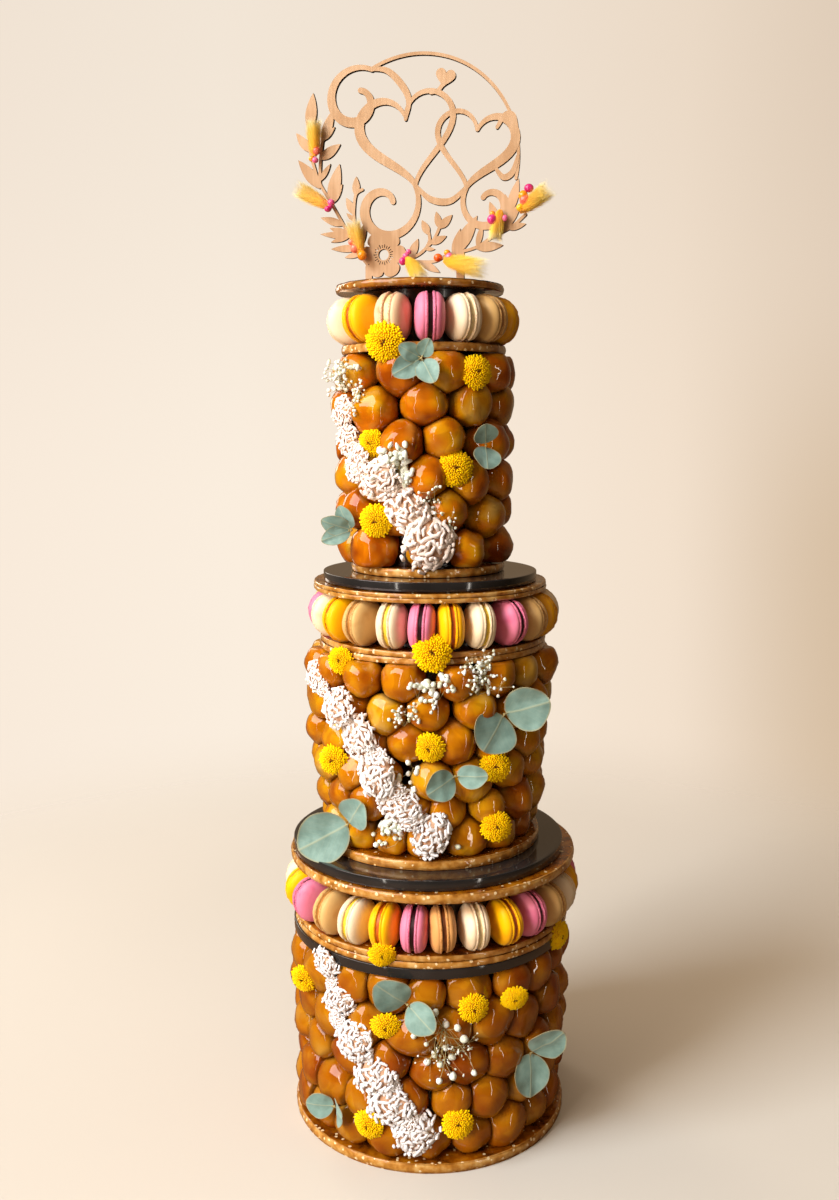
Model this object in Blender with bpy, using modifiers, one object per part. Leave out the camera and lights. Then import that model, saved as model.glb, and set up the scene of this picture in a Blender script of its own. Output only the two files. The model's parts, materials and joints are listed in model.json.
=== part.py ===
"""Croquembouche of three storeys: choux walls on nougatine discs and acrylic plates, rings of
macarons between the storeys, and a flat wooden ornament with a wreath on the top disc.

Metres, +Z up. The origin is the centre of the bottom disc's underside, and -Y is the front.
An azimuth is in degrees: 0 faces the front (-Y) and a positive one turns towards +X.
"""
import math
import random

import bmesh
import bpy
from mathutils import Matrix, Vector
from mathutils.bvhtree import BVHTree

CM = 0.01
GAP = 0.0003            # clearance between pieces that rest on each other
SMOOTH_ANGLE = 35       # degrees; an edge sharper than this stays sharp

# ---- driving dimensions: the stack, from the table upwards ------------------------------
DISC_SIDES = 20
DISC_WOBBLE = 0.0007    # how uneven a hand-cut nougatine edge is
PLATE_SIDES = 26

# name, radius, underside, top, sideways shift of the centre
NOUGATINE_DISCS = (
    ("nougatine_base", 0.1330, 0.0000, 0.0090, 0.0000),
    ("nougatine_lower_under", 0.1325, 0.1940, 0.1997, 0.0010),
    ("nougatine_lower_over", 0.1315, 0.2000, 0.2055, 0.0010),
    ("nougatine_lower_cover", 0.1370, 0.2550, 0.2635, 0.0030),
    ("nougatine_middle_base", 0.1070, 0.2735, 0.2820, -0.0010),
    ("nougatine_middle_under", 0.1065, 0.4580, 0.4635, 0.0025),
    ("nougatine_middle_over", 0.1060, 0.4638, 0.4690, 0.0025),
    ("nougatine_upper_under", 0.1095, 0.5117, 0.5156, 0.0000),
    ("nougatine_upper_over", 0.1090, 0.5159, 0.5195, 0.0000),
    ("nougatine_top_base", 0.0720, 0.5285, 0.5360, -0.0020),
    ("nougatine_top_under", 0.0760, 0.7240, 0.7315, -0.0065),
)
COVER_DISC = ("nougatine_top_cover", 0.0760, 0.7777, 0.7845, -0.0095)
COVER_ROUNDING = 0.35   # how far its edge draws in above and below, as a share of its depth
PLATES = (
    ("acrylic_plate_bottom", 0.1325, 0.1843, 0.1937, 0.0000),
    ("acrylic_plate_middle", 0.1300, 0.2638, 0.2732, -0.0015),
    ("acrylic_plate_top", 0.1000, 0.5198, 0.5282, 0.0000),
)

# name, radius at the foot and at the head, underside, top, rows, choux in a row, shift
CHOUX_TIERS = (
    ("choux_tier_bottom", 0.1300, 0.1350, 0.0093, 0.1840, 5, 20, 0.0000),
    ("choux_tier_middle", 0.1020, 0.1185, 0.2823, 0.4577, 6, 16, 0.0000),
    ("choux_tier_top", 0.0795, 0.0850, 0.5363, 0.7237, 6, 9, -0.0060),
)
WALL_BELLY = 2          # the wall swells from foot to head, fastest at the foot
CHOU_SADDLE = 0.007     # how far the wall draws in between two choux of a row
CHOU_PIT = 0.011        # and in the pit where three choux meet
CHOU_UNEVEN = 0.002     # how much one chou stands out more than the next

# name, outer radius, underside, top of the solid, macarons, shift
MACARON_RINGS = (
    ("macaron_ring_bottom", 0.1420, 0.2058, 0.2547, 28, 0.0020),
    ("macaron_ring_middle", 0.1180, 0.4693, 0.5114, 22, 0.0035),
    ("macaron_ring_top", 0.0885, 0.7318, 0.7774, 13, -0.0062),
)
MACARON_DIAMETER = 0.0420
MACARON_GROOVE = 0.60   # the outline between two macarons, as a share of a macaron's radius
MACARON_CORE = 0.50     # how far inside a macaron's centre the core meets the disc above

# ---- driving dimensions: what is set on the walls ----------------------------------------
START_DISTANCE = 0.20   # a piece starts this far from the axis and is pushed in to the wall
SETTLE_REACH = 0.06     # only what is this near a piece's path can stop it
FLOWER_RADIUS = 0.0150
FLOWER_DEPTH = 0.0150
FLOWER_SIDES = 6
# a flower's profile from the wall outwards: radius and height as shares
FLOWER_PROFILE = ((0.50, 0.0), (1.0, 0.55), (0.62, 1.0), (0.16, 0.80))
# tier shift, azimuth, height, size as a share of the standard flower
FLOWERS = (
    (-0.006, -22.8, 0.7310, 1.15), (-0.006, 35.0, 0.7060, 1.00),
    (-0.006, -36.0, 0.6460, 0.90), (-0.006, 22.0, 0.6240, 1.07),
    (-0.006, -31.0, 0.5790, 1.00),
    (0.000, -45.5, 0.4565, 0.80), (0.000, 1.0, 0.4700, 1.12), (0.000, -51.5, 0.3640, 0.93),
    (0.000, 0.0, 0.3870, 0.92), (0.000, 31.0, 0.3655, 0.92), (0.000, 32.5, 0.3100, 0.95),
    (0.000, -18.0, 0.2065, 0.82), (0.000, -58.0, 0.1565, 0.88), (0.000, -17.0, 0.1390, 0.93),
    (0.000, 17.0, 0.1560, 0.91), (0.000, 34.5, 0.1580, 0.84), (0.000, -24.0, 0.0415, 0.97),
    (0.000, 11.0, 0.0480, 0.94), (0.000, 64.0, 0.1930, 0.92),
)

LEAF_THICKNESS = 0.0012
LEAF_SIDES = 6
LEAF_NODE_RADIUS = 0.0028
LEAF_START = 0.48          # middle of a leaf of length 1, so that its foot is in the node
# tier shift, azimuth, height, then leaves: direction in degrees (0 right, 90 up),
# length, width and tilt away from the wall in degrees
EUCALYPTUS = (
    (-0.006, -1.0, 0.7170, ((150, 0.021, 0.016, 20), (62, 0.019, 0.015, 35),
                            (208, 0.027, 0.021, 12), (300, 0.024, 0.021, 25))),
    (-0.006, 39.0, 0.6440, ((100, 0.019, 0.024, 25), (258, 0.021, 0.027, 25))),
    (-0.006, -51.0, 0.5690, ((112, 0.023, 0.018, 20), (160, 0.027, 0.018, 35),
                             (205, 0.027, 0.017, 35))),
    (0.000, 33.5, 0.4120, ((13, 0.040, 0.041, 30), (240, 0.042, 0.037, 12))),
    (0.000, 10.0, 0.3540, ((203, 0.029, 0.028, 20), (2, 0.027, 0.022, 20))),
    (0.000, -39.0, 0.3100, ((208, 0.050, 0.046, 20), (12, 0.028, 0.040, 20))),
    (0.000, -7.5, 0.1640, ((140, 0.036, 0.034, 20), (317, 0.031, 0.029, 20))),
    (0.000, 44.5, 0.0950, ((42, 0.037, 0.032, 30), (262, 0.038, 0.031, 12))),
    (0.000, -38.0, 0.0480, ((183, 0.026, 0.025, 12), (5, 0.020, 0.027, 45))),
)

GARLAND_FLATNESS = 0.55   # its depth as a share of its width
GARLAND_CLEARANCE = 0.0008
GARLAND_WAIST = 0.80      # its width between two clusters
GARLAND_TIP = 0.55        # and at its ends
# name, its tier of choux, then clusters down the slope: azimuth, height, half width
GARLANDS = (
    ("coral_garland_top", 2, ((-58, 0.685, 0.011), (-55, 0.671, 0.013), (-50, 0.648, 0.013),
                              (-41, 0.629, 0.013), (-27, 0.620, 0.016), (-10, 0.589, 0.018),
                              (4, 0.562, 0.021))),
    ("coral_garland_middle", 1, ((-58, 0.438, 0.012), (-48, 0.426, 0.012), (-39, 0.417, 0.016),
                                 (-27, 0.391, 0.018), (-19, 0.361, 0.019), (-10, 0.334, 0.016),
                                 (1, 0.308, 0.018))),
    ("coral_garland_bottom", 0, ((-42, 0.186, 0.012), (-37, 0.154, 0.014), (-28, 0.123, 0.016),
                                 (-19, 0.095, 0.018), (-11, 0.069, 0.019), (-5, 0.042, 0.018))),
)

# ---- driving dimensions: the wooden ornament, in centimetres from the foot of its pegs ----
PLY_THICKNESS = 0.0040
ORNAMENT_AXIS = -0.014        # it is turned a little about an upright axis at this x
ORNAMENT_TURN = -12.0         # degrees
RING_CENTRE = (-1.1, 10.85)
RING_RADIUS = 9.0
RING_WIDTH = 0.40
RING_FROM, RING_TO = -12.0, 118.0     # degrees, anticlockwise from the right
# base, tip, width
LEAVES = (
    ((-11.1, 14.0), (-10.7, 17.1), 1.05), ((-11.1, 12.1), (-12.35, 13.75), 0.80),
    ((-10.1, 11.4), (-8.2, 12.6), 0.90), ((-9.9, 12.9), (-8.8, 15.6), 0.90),
    ((-9.85, 13.0), (-8.7, 14.1), 0.50), ((-10.15, 8.9), (-12.2, 11.4), 1.05),
    ((-10.2, 9.5), (-9.15, 10.95), 0.50), ((-9.2, 7.6), (-8.3, 10.9), 1.15),
    ((-9.05, 7.5), (-8.05, 9.15), 0.60), ((-8.0, 5.6), (-10.15, 6.3), 0.70),
    ((-7.4, 4.7), (-9.3, 5.35), 0.65), ((-7.4, 4.6), (-10.2, 4.85), 0.60),
    ((-7.4, 4.6), (-9.2, 4.1), 0.50), ((-6.6, 3.5), (-9.2, 3.5), 0.65),
    ((-6.3, 3.1), (-7.9, 2.7), 0.55), ((-6.8, 8.1), (-6.75, 9.75), 0.70),
    ((-7.0, 6.5), (-7.7, 7.95), 0.70), ((-6.95, 5.9), (-7.7, 6.6), 0.40),
    ((-6.5, 3.6), (-5.9, 5.85), 0.70), ((-1.8, 2.5), (-1.05, 4.15), 0.75),
    ((-0.1, 4.5), (-0.7, 5.75), 0.70), ((0.9, 5.0), (0.6, 6.45), 0.65),
    ((0.9, 5.0), (2.05, 6.1), 0.70), ((0.1, 3.7), (1.55, 4.3), 0.65),
    ((-0.4, 3.25), (0.5, 3.2), 0.35), ((2.1, 2.8), (2.8, 4.9), 0.60),
    ((2.4, 2.8), (4.3, 5.95), 1.20), ((4.3, 3.3), (4.8, 5.25), 0.55),
    ((4.2, 3.2), (6.65, 3.35), 0.85), ((6.1, 5.2), (5.4, 7.1), 0.80),
    ((6.6, 4.7), (8.2, 6.9), 0.80), ((7.0, 4.75), (8.65, 5.1), 0.60),
    ((7.2, 6.2), (6.75, 7.7), 0.50), ((7.15, 6.1), (7.95, 8.95), 0.85),
    ((-0.9, 2.2), (0.95, 1.15), 0.70),
)
STEM_WIDTH = 0.26
STEMS = (
    ((-11.1, 14.3), (-11.05, 12.1), (-10.7, 10.7), (-10.2, 9.3), (-9.05, 7.4), (-7.4, 4.6),
     (-6.3, 3.0), (-5.6, 1.6)),
    ((-9.85, 13.2), (-10.1, 11.3), (-10.2, 9.2)),
    ((-6.7, 3.5), (-6.95, 5.6), (-7.0, 6.9), (-6.8, 8.2), (-6.2, 8.6)),
    ((-2.7, 2.5), (-1.7, 2.5), (-0.9, 2.85), (-0.2, 3.45), (0.45, 4.15), (0.95, 5.2)),
    ((-0.3, 3.35), (0.0, 4.0), (-0.1, 4.7)),
    ((-2.7, 2.3), (-0.8, 2.15), (0.45, 2.15), (1.25, 2.5), (2.1, 2.8), (3.1, 2.95),
     (4.35, 3.3), (5.6, 4.05), (6.6, 4.5), (7.6, 5.05), (8.6, 5.9)),
    ((6.3, 4.3), (6.9, 5.3), (7.2, 6.4)),
    ((5.9, 4.1), (6.2, 4.8), (6.05, 5.4)),
)
BLOSSOM_CENTRE = (-4.25, 2.85)
BLOSSOM_RADIUS = 2.10
BLOSSOM_HOLE = 0.48
PEGS = ((-5.95, -5.35, 1.9), (2.45, 3.15, 2.95))      # left edge, right edge, height
# two linked hearts, each in two strokes: centre, width, turn in degrees, and the widths of
# the left and the right stroke
HEARTS = (
    ((-1.9, 12.5), 8.6, 9.0, 0.92, 0.52),
    ((3.9, 11.4), 7.0, -11.0, 0.48, 0.85),
)
STROKE_END = 0.30
HEART_NOTCH, HEART_TIP = 12, 184      # degrees along a heart where its strokes start and end
ARC_POINTS, HEART_POINTS, SCROLL_POINTS, SWEEP_POINTS, BLOSSOM_POINTS = 14, 10, 13, 6, 18
SMALL_HEART = ((1.35, 17.6), 1.8, -14.0)
# scrolls: centre, outer and inner radius, from angle, to angle, widths at the ends and middle
SCROLLS = (
    ((-6.7, 16.2), 2.95, 0.95, 60.0, 425.0, (0.40, 0.85, 0.50)),
    ((-4.1, 7.0), 3.26, 0.85, 31.0, -330.0, (0.40, 0.90, 0.50)),
    ((5.3, 6.9), 2.45, 0.75, 145.0, 490.0, (0.40, 0.75, 0.45)),
)
# sweeps: points of a smooth stroke and its greatest width
SWEEPS = (
    (((-5.4, 18.8), (-3.9, 18.6), (-2.6, 17.4), (-1.9, 16.0), (-2.2, 14.4)), 0.62),
    (((6.0, 13.3), (6.7, 14.3), (7.4, 14.2), (7.75, 13.0)), 0.50),
    (((5.9, 9.9), (6.6, 9.1), (7.4, 9.5), (7.85, 10.8)), 0.55),
    (((-1.35, 8.8), (0.1, 7.5), (1.9, 7.3), (3.4, 8.5)), 0.60),
    (((0.1, 16.5), (0.8, 16.7), (1.3, 17.4)), 0.35),
)

TAIL_SIDES = 6
# a tuft's profile from its foot: radius and length as shares
TAIL_PROFILE = ((0.40, 0.0), (1.0, 0.30), (0.85, 0.65), (0.14, 1.0))
# hare's-tail tufts: foot, tip, thickness, berries as (x, height, radius)
HARE_TAILS = (
    ((-10.45, 11.0), (-10.40, 14.5), 1.30, ((-10.25, 12.0, 0.36), (-10.45, 11.25, 0.30))),
    ((-9.10, 7.1), (-12.10, 8.8), 1.35, ((-8.95, 7.45, 0.34), (-9.25, 6.95, 0.34))),
    ((-6.15, 2.7), (-6.95, 5.7), 1.20, ((-7.05, 3.95, 0.34), (-6.75, 3.40, 0.40))),
    ((-2.00, 2.5), (-1.00, 0.8), 1.30, ((-2.32, 2.15, 0.34), (-2.05, 2.62, 0.30))),
    ((1.15, 2.15), (5.10, 1.3), 1.60, ((0.92, 2.35, 0.38), (1.75, 2.45, 0.38))),
    ((6.45, 6.3), (6.00, 3.8), 1.10, ((5.75, 5.45, 0.44), (6.85, 5.55, 0.28))),
    ((8.10, 6.0), (10.60, 7.75), 1.40, ((8.60, 6.95, 0.44), (8.95, 7.50, 0.40))),
)

# ---- finishes: sRGB colour, roughness -----------------------------------------------------
FINISHES = {
    "caramelised_choux": ((0.76, 0.42, 0.12), 0.15),
    "nougatine": ((0.66, 0.40, 0.17), 0.35),
    "macaron_shell": ((0.93, 0.76, 0.58), 0.55),
    "acrylic": ((0.12, 0.12, 0.13), 0.08),
    "poplar_plywood": ((0.82, 0.62, 0.44), 0.60),
    "dried_flower": ((0.95, 0.76, 0.05), 0.80),
    "eucalyptus_leaf": ((0.50, 0.62, 0.58), 0.60),
    "coral_flower": ((0.95, 0.87, 0.82), 0.70),
    "hare_tail_grass": ((0.92, 0.75, 0.25), 0.90),
}


def clear_scene():
    for thing in list(bpy.data.objects):
        bpy.data.objects.remove(thing, do_unlink=True)


def collection(name):
    made = bpy.data.collections.new(name)
    bpy.context.scene.collection.children.link(made)
    return made


def finish(name):
    """The named finish as a Principled BSDF, made on first use."""
    made = bpy.data.materials.get(name)
    if made is None:
        colour, roughness = FINISHES[name]
        made = bpy.data.materials.new(name)
        made.use_nodes = True
        shader = made.node_tree.nodes["Principled BSDF"]
        shader.inputs["Base Color"].default_value = (*(c ** 2.2 for c in colour), 1.0)
        shader.inputs["Roughness"].default_value = roughness
        shader.inputs["Metallic"].default_value = 0.0
    return made


def add_part(name, mesh, finish_name):
    part = bpy.data.objects.new(name, mesh)
    mesh.name = name
    mesh.materials.clear()
    mesh.materials.append(finish(finish_name))
    mesh.shade_smooth()
    mesh.set_sharp_from_angle(angle=math.radians(SMOOTH_ANGLE))
    PARTS.objects.link(part)
    return part


def mesh_of(bm, name):
    bmesh.ops.recalc_face_normals(bm, faces=bm.faces)
    mesh = bpy.data.meshes.new(name)
    bm.to_mesh(mesh)
    bm.free()
    return mesh


def drum(sides, levels, shape):
    """A closed drum with that many sides and levels, each vertex put at (radius, height) by
    shape(column, level), columns counted from the back and levels from the bottom."""
    bm = bmesh.new()
    bmesh.ops.create_cone(bm, cap_ends=True, segments=sides, radius1=1, radius2=1, depth=1)
    if levels > 1:
        upright = [e for e in bm.edges if abs(e.verts[0].co.z - e.verts[1].co.z) > 0.5]
        bmesh.ops.subdivide_edges(bm, edges=upright, cuts=levels - 1, use_grid_fill=True)
    for vert in bm.verts:
        angle = math.atan2(vert.co.x, vert.co.y)
        column = round(angle / math.tau * sides) % sides
        level = round((vert.co.z + 0.5) * levels)
        radius, height = shape(column, level)
        turn = math.tau * column / sides
        vert.co = (radius * math.sin(turn), radius * math.cos(turn), height)
    return bm


# ---- discs and plates ---------------------------------------------------------------------
def nougatine_disc(name, radius, low, high, shift):
    """A baked disc cut by hand: its edge wavers a little."""
    rng = random.Random(name)
    edge = [radius - rng.random() * DISC_WOBBLE * 2 for _ in range(DISC_SIDES)]

    def shape(column, level):
        return edge[column], high if level else low

    part = add_part(name, mesh_of(drum(DISC_SIDES, 1, shape), name), "nougatine")
    part.location.x = shift


def cover_disc(name, radius, low, high, shift):
    """The top disc, whose edge is rounded by the caramel that runs over it."""
    middle = (low + high) / 2
    draw_in = (high - low) * COVER_ROUNDING
    profile = ((radius - draw_in, low), (radius, middle), (radius - draw_in, high))

    part = add_part(name, mesh_of(drum(DISC_SIDES, 2, lambda c, n: profile[n]), name),
                    "nougatine")
    part.location.x = shift


def acrylic_plate(name, radius, low, high, shift):
    def shape(column, level):
        return radius, high if level else low

    part = add_part(name, mesh_of(drum(PLATE_SIDES, 1, shape), name), "acrylic")
    part.location.x = shift


# ---- walls of choux -----------------------------------------------------------------------
def wall_radius(foot_radius, head_radius, share):
    """The radius of a wall of choux at that share of its height."""
    return head_radius - (head_radius - foot_radius) * (1 - share) ** WALL_BELLY


def choux_tier(name, foot_radius, head_radius, low, high, rows, in_a_row, shift):
    """A wall of round choux in staggered rows: a peak at each chou, drawn in between them."""
    rng = random.Random(name)
    bump = [[rng.uniform(-CHOU_UNEVEN, CHOU_UNEVEN) for _ in range(2 * in_a_row)]
            for _ in range(rows)]
    lift = [[rng.uniform(-CHOU_UNEVEN, CHOU_UNEVEN) for _ in range(2 * in_a_row)]
            for _ in range(rows)]
    step = (high - low) / (2 * rows)

    def shape(column, level):
        height = low + level * step
        radius = wall_radius(foot_radius, head_radius, level / (2 * rows))
        if level % 2 == 0:
            return radius - CHOU_PIT, height
        row = level // 2
        if (column + row) % 2:
            return radius - CHOU_SADDLE, height
        return radius + bump[row][column], height + lift[row][column]

    bm = drum(2 * in_a_row, 2 * rows, shape)
    sides = [f for f in bm.faces if len(f.verts) == 4]
    bmesh.ops.triangulate(bm, faces=sides, quad_method="SHORT_EDGE")
    part = add_part(name, mesh_of(bm, name), "caramelised_choux")
    part.location.x = shift
    return part


# ---- rings of macarons --------------------------------------------------------------------
def macaron_ring(name, outer_radius, low, high, count, shift):
    """Macarons stood on edge side by side like wheels: the ring's outline is a macaron's
    circle at each of them and draws in between two of them."""
    macaron_radius = MACARON_DIAMETER / 2
    middle = outer_radius - macaron_radius
    centre = low + macaron_radius
    angles = (-90, -45, 0, 45)

    def shape(column, level):
        if level == len(angles):
            return middle - macaron_radius * MACARON_CORE, high
        between = column % 3 == 0 and level > 0
        reach = macaron_radius * (MACARON_GROOVE if between else 1.0)
        angle = math.radians(angles[level])
        return middle + reach * math.cos(angle), centre + reach * math.sin(angle)

    bm = drum(3 * count, len(angles), shape)
    part = add_part(name, mesh_of(bm, name), "macaron_shell")
    part.location.x = shift


# ---- settling a piece on the wall behind it -------------------------------------------------
def outward(azimuth):
    turn = math.radians(azimuth)
    return Vector((math.sin(turn), -math.cos(turn), 0))


def on_wall(azimuth, height, shift, distance):
    """The frame of a spot facing out of the wall: X to the right, Y up, Z outwards."""
    out = outward(azimuth)
    right = Vector((0, 0, 1)).cross(out)
    turned = Matrix((right, Vector((0, 0, 1)), out)).transposed().to_4x4()
    spot = Vector((shift, 0, height)) + out * distance
    return Matrix.Translation(spot) @ turned


def solid_points(part):
    """World places of a part's vertices and of points along its edges, with its tree."""
    bpy.context.view_layer.update()
    mesh = part.data
    corners = [part.matrix_world @ v.co for v in mesh.vertices]
    points = list(corners)
    for edge in mesh.edges:
        a, b = (corners[i] for i in edge.vertices)
        points += [a.lerp(b, share) for share in (0.25, 0.5, 0.75)]
    tree = BVHTree.FromPolygons(corners, [tuple(p.vertices) for p in mesh.polygons])
    return points, tree


def settle(part, inwards, others):
    """Pushes the part inwards until it all but touches one of the others."""
    points, tree = solid_points(part)
    centre = sum(points, Vector()) / len(points)
    nearest = 1.0
    for other_points, other_tree in others:
        for point in points:
            distance = other_tree.ray_cast(point, inwards)[3]
            nearest = min(nearest, distance or nearest)
        for point in other_points:
            if (point - centre).cross(inwards).length < SETTLE_REACH:
                distance = tree.ray_cast(point, -inwards)[3]
                nearest = min(nearest, distance or nearest)
    part.location += inwards * (nearest - 2 * GAP)


# ---- yellow flowers -----------------------------------------------------------------------
def yellow_flower(number, shift, azimuth, height, size, others):
    """A small round flower head with a dimple in the middle of its face."""
    radius, depth = FLOWER_RADIUS * size, FLOWER_DEPTH * size
    profile = [(across * radius, up * depth) for across, up in FLOWER_PROFILE]
    name = f"yellow_flower_{number:02d}"
    bm = drum(FLOWER_SIDES, len(profile) - 1, lambda column, level: profile[level])
    part = add_part(name, mesh_of(bm, name), "dried_flower")
    part.matrix_world = on_wall(azimuth, height, shift, START_DISTANCE)
    settle(part, -outward(azimuth), others)
    return part


# ---- joining flat pieces into one body ------------------------------------------------------
def union(name, meshes):
    """One mesh from overlapping closed meshes, joined by a Boolean over a cutter collection."""
    cutters = collection("joining_" + name)
    CUTTERS.children.link(cutters)
    bpy.context.scene.collection.children.unlink(cutters)
    for mesh in meshes[1:]:
        cutter = bpy.data.objects.new("join", mesh)
        cutter.hide_render = True
        cutter.display_type = "WIRE"
        cutters.objects.link(cutter)
    body = bpy.data.objects.new("body", meshes[0])
    CUTTERS.objects.link(body)
    joint = body.modifiers.new("join", "BOOLEAN")
    joint.operation = "UNION"
    joint.operand_type = "COLLECTION"
    joint.collection = cutters
    bpy.context.view_layer.update()
    evaluated = body.evaluated_get(bpy.context.evaluated_depsgraph_get())
    mesh = bpy.data.meshes.new_from_object(evaluated)
    for used in [body, *cutters.objects]:
        bpy.data.objects.remove(used, do_unlink=True)
    bpy.data.collections.remove(cutters)
    return mesh


def closed_mesh(thing):
    """The evaluated mesh of a curve or a modified object, its loose caps welded."""
    bpy.context.view_layer.update()
    evaluated = thing.evaluated_get(bpy.context.evaluated_depsgraph_get())
    mesh = bpy.data.meshes.new_from_object(evaluated)
    bm = bmesh.new()
    bm.from_mesh(mesh)
    bmesh.ops.remove_doubles(bm, verts=bm.verts, dist=0.00005)
    bmesh.ops.recalc_face_normals(bm, faces=bm.faces)
    bm.to_mesh(mesh)
    bm.free()
    mesh.transform(thing.matrix_world)
    bpy.data.objects.remove(thing, do_unlink=True)
    return mesh


# ---- eucalyptus -----------------------------------------------------------------------------
def leaf_mesh(direction, length, width, tilt):
    """A round leaf from the sprig's node outwards, its tip lifted from the wall by tilt."""
    bm = bmesh.new()
    bmesh.ops.create_circle(bm, cap_ends=True, segments=LEAF_SIDES, radius=0.5)
    bmesh.ops.translate(bm, verts=bm.verts, vec=(LEAF_START, 0, 0))
    bmesh.ops.scale(bm, verts=bm.verts, vec=(length, width, 1))
    mesh = mesh_of(bm, "leaf")
    leaf = bpy.data.objects.new("leaf", mesh)
    CUTTERS.objects.link(leaf)
    leaf.matrix_world = (Matrix.Rotation(math.radians(direction), 4, "Z")
                         @ Matrix.Rotation(math.radians(-tilt), 4, "Y"))
    shell = leaf.modifiers.new("thickness", "SOLIDIFY")
    shell.thickness = LEAF_THICKNESS
    shell.offset = 0
    return closed_mesh(leaf)


def leaf_node():
    """The knot of twig that the leaves of a sprig grow from."""
    bm = bmesh.new()
    bmesh.ops.create_uvsphere(bm, u_segments=5, v_segments=3, radius=LEAF_NODE_RADIUS)
    return mesh_of(bm, "node")


def eucalyptus(number, shift, azimuth, height, leaves, others):
    name = f"eucalyptus_{number:02d}"
    mesh = union(name, [leaf_node()] + [leaf_mesh(*leaf) for leaf in leaves])
    part = add_part(name, mesh, "eucalyptus_leaf")
    part.matrix_world = on_wall(azimuth, height, shift, START_DISTANCE)
    settle(part, -outward(azimuth), others)
    return part


# ---- coral garlands ---------------------------------------------------------------------------
def garland(name, tier, route):
    """Clusters of small tubular blossoms in a slanting row, thick and thin by turns and
    flattened against the wall of choux."""
    _, foot_radius, head_radius, low, high, _, _, shift = CHOUX_TIERS[tier]
    curve = bpy.data.curves.new(name, "CURVE")
    curve.dimensions = "3D"
    curve.bevel_depth = 1
    curve.bevel_resolution = 1
    curve.use_fill_caps = True
    stations = []
    for (a0, h0, w0), (a1, h1, w1) in zip(route, route[1:]):
        stations += [(a0, h0, w0), ((a0 + a1) / 2, (h0 + h1) / 2,
                                    (w0 + w1) / 2 * GARLAND_WAIST)]
    stations.append(route[-1])
    for end in (0, -1):
        azimuth, height, width = stations[end]
        stations[end] = (azimuth, height, width * GARLAND_TIP)
    spline = curve.splines.new("POLY")
    spline.points.add(len(stations) - 1)
    for point, (azimuth, height, width) in zip(spline.points, stations):
        place = outward(azimuth) * head_radius
        point.co = (place.x, place.y, height, 1)
        point.radius = width
    tube = bpy.data.objects.new(name, curve)
    CUTTERS.objects.link(tube)
    mesh = closed_mesh(tube)
    least = min(width for _, _, width in route)
    for vert in mesh.vertices:
        radius = math.hypot(vert.co.x, vert.co.y)
        share = min(1, (vert.co.z - low) / (high - low))
        thickness = (least + radius - head_radius) * GARLAND_FLATNESS
        flat = (wall_radius(foot_radius, head_radius, share) + CHOU_UNEVEN + GARLAND_CLEARANCE
                + max(0, thickness))
        vert.co.x *= flat / radius
        vert.co.y *= flat / radius
    part = add_part(name, mesh, "coral_flower")
    part.location.x = shift
    return part


# ---- the wooden ornament: flat outlines, in centimetres -----------------------------------------
def board(outlines):
    """A closed board cut from flat outlines, the first its edge and the rest its openings."""
    curve = bpy.data.curves.new("board", "CURVE")
    curve.dimensions = "2D"
    curve.fill_mode = "BOTH"
    curve.extrude = PLY_THICKNESS / 2
    for outline in outlines:
        spline = curve.splines.new("POLY")
        spline.points.add(len(outline) - 1)
        spline.use_cyclic_u = True
        for point, (x, y) in zip(spline.points, outline):
            point.co = (x * CM, y * CM, 0, 1)
    flat = bpy.data.objects.new("board", curve)
    CUTTERS.objects.link(flat)
    return closed_mesh(flat)


def ribbon(points, widths):
    """The outline of a stroke along points, as wide at each as widths says."""
    left, right = [], []
    for i, (x, y) in enumerate(points):
        x0, y0 = points[max(i - 1, 0)]
        x1, y1 = points[min(i + 1, len(points) - 1)]
        run = math.hypot(x1 - x0, y1 - y0)
        nx, ny = -(y1 - y0) / run * widths[i] / 2, (x1 - x0) / run * widths[i] / 2
        left.append((x + nx, y + ny))
        right.append((x - nx, y - ny))
    return left + right[::-1]


def arc(centre, radius, start, end, count):
    """Points on an arc, or on a spiral when radius is a pair."""
    first, last = radius if isinstance(radius, tuple) else (radius, radius)
    points = []
    for i in range(count):
        share = i / (count - 1)
        angle = math.radians(start + (end - start) * share)
        reach = first + (last - first) * share
        points.append((centre[0] + reach * math.cos(angle), centre[1] + reach * math.sin(angle)))
    return points


def swelling(count, first, middle, last):
    """Widths along a stroke that swells in the middle."""
    made = []
    for i in range(count):
        share = i / (count - 1)
        ends = first + (last - first) * share
        made.append(ends + (middle - ends) * math.sin(math.pi * share) ** 1.5)
    return made


def leaf_outline(base, tip, width):
    """A pointed leaf, widest at two fifths of its length."""
    dx, dy = tip[0] - base[0], tip[1] - base[1]
    length = math.hypot(dx, dy)
    across = (-dy / length * width / 2, dx / length * width / 2)
    sides = ((0.0, 0.28), (0.45, 1.0))
    left = [(base[0] + dx * t + across[0] * w, base[1] + dy * t + across[1] * w)
            for t, w in sides]
    right = [(base[0] + dx * t - across[0] * w, base[1] + dy * t - across[1] * w)
             for t, w in reversed(sides)]
    return left + [tip] + right


def heart_line(centre, width, turn, start, end, count):
    """Points on a heart, by the usual formula, from its notch at 0 to its tip at 180 and
    back; the formula's heart is 32 wide and centred 2.5 above its own origin."""
    points = []
    cosine, sine = math.cos(math.radians(turn)), math.sin(math.radians(turn))
    for i in range(count):
        t = math.radians(start + (end - start) * i / (count - 1))
        x = 16 * math.sin(t) ** 3 * width / 32
        y = (13 * math.cos(t) - 5 * math.cos(2 * t) - 2 * math.cos(3 * t) - math.cos(4 * t)
             + 2.5) * width / 32
        points.append((centre[0] + x * cosine - y * sine, centre[1] + x * sine + y * cosine))
    return points


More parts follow.
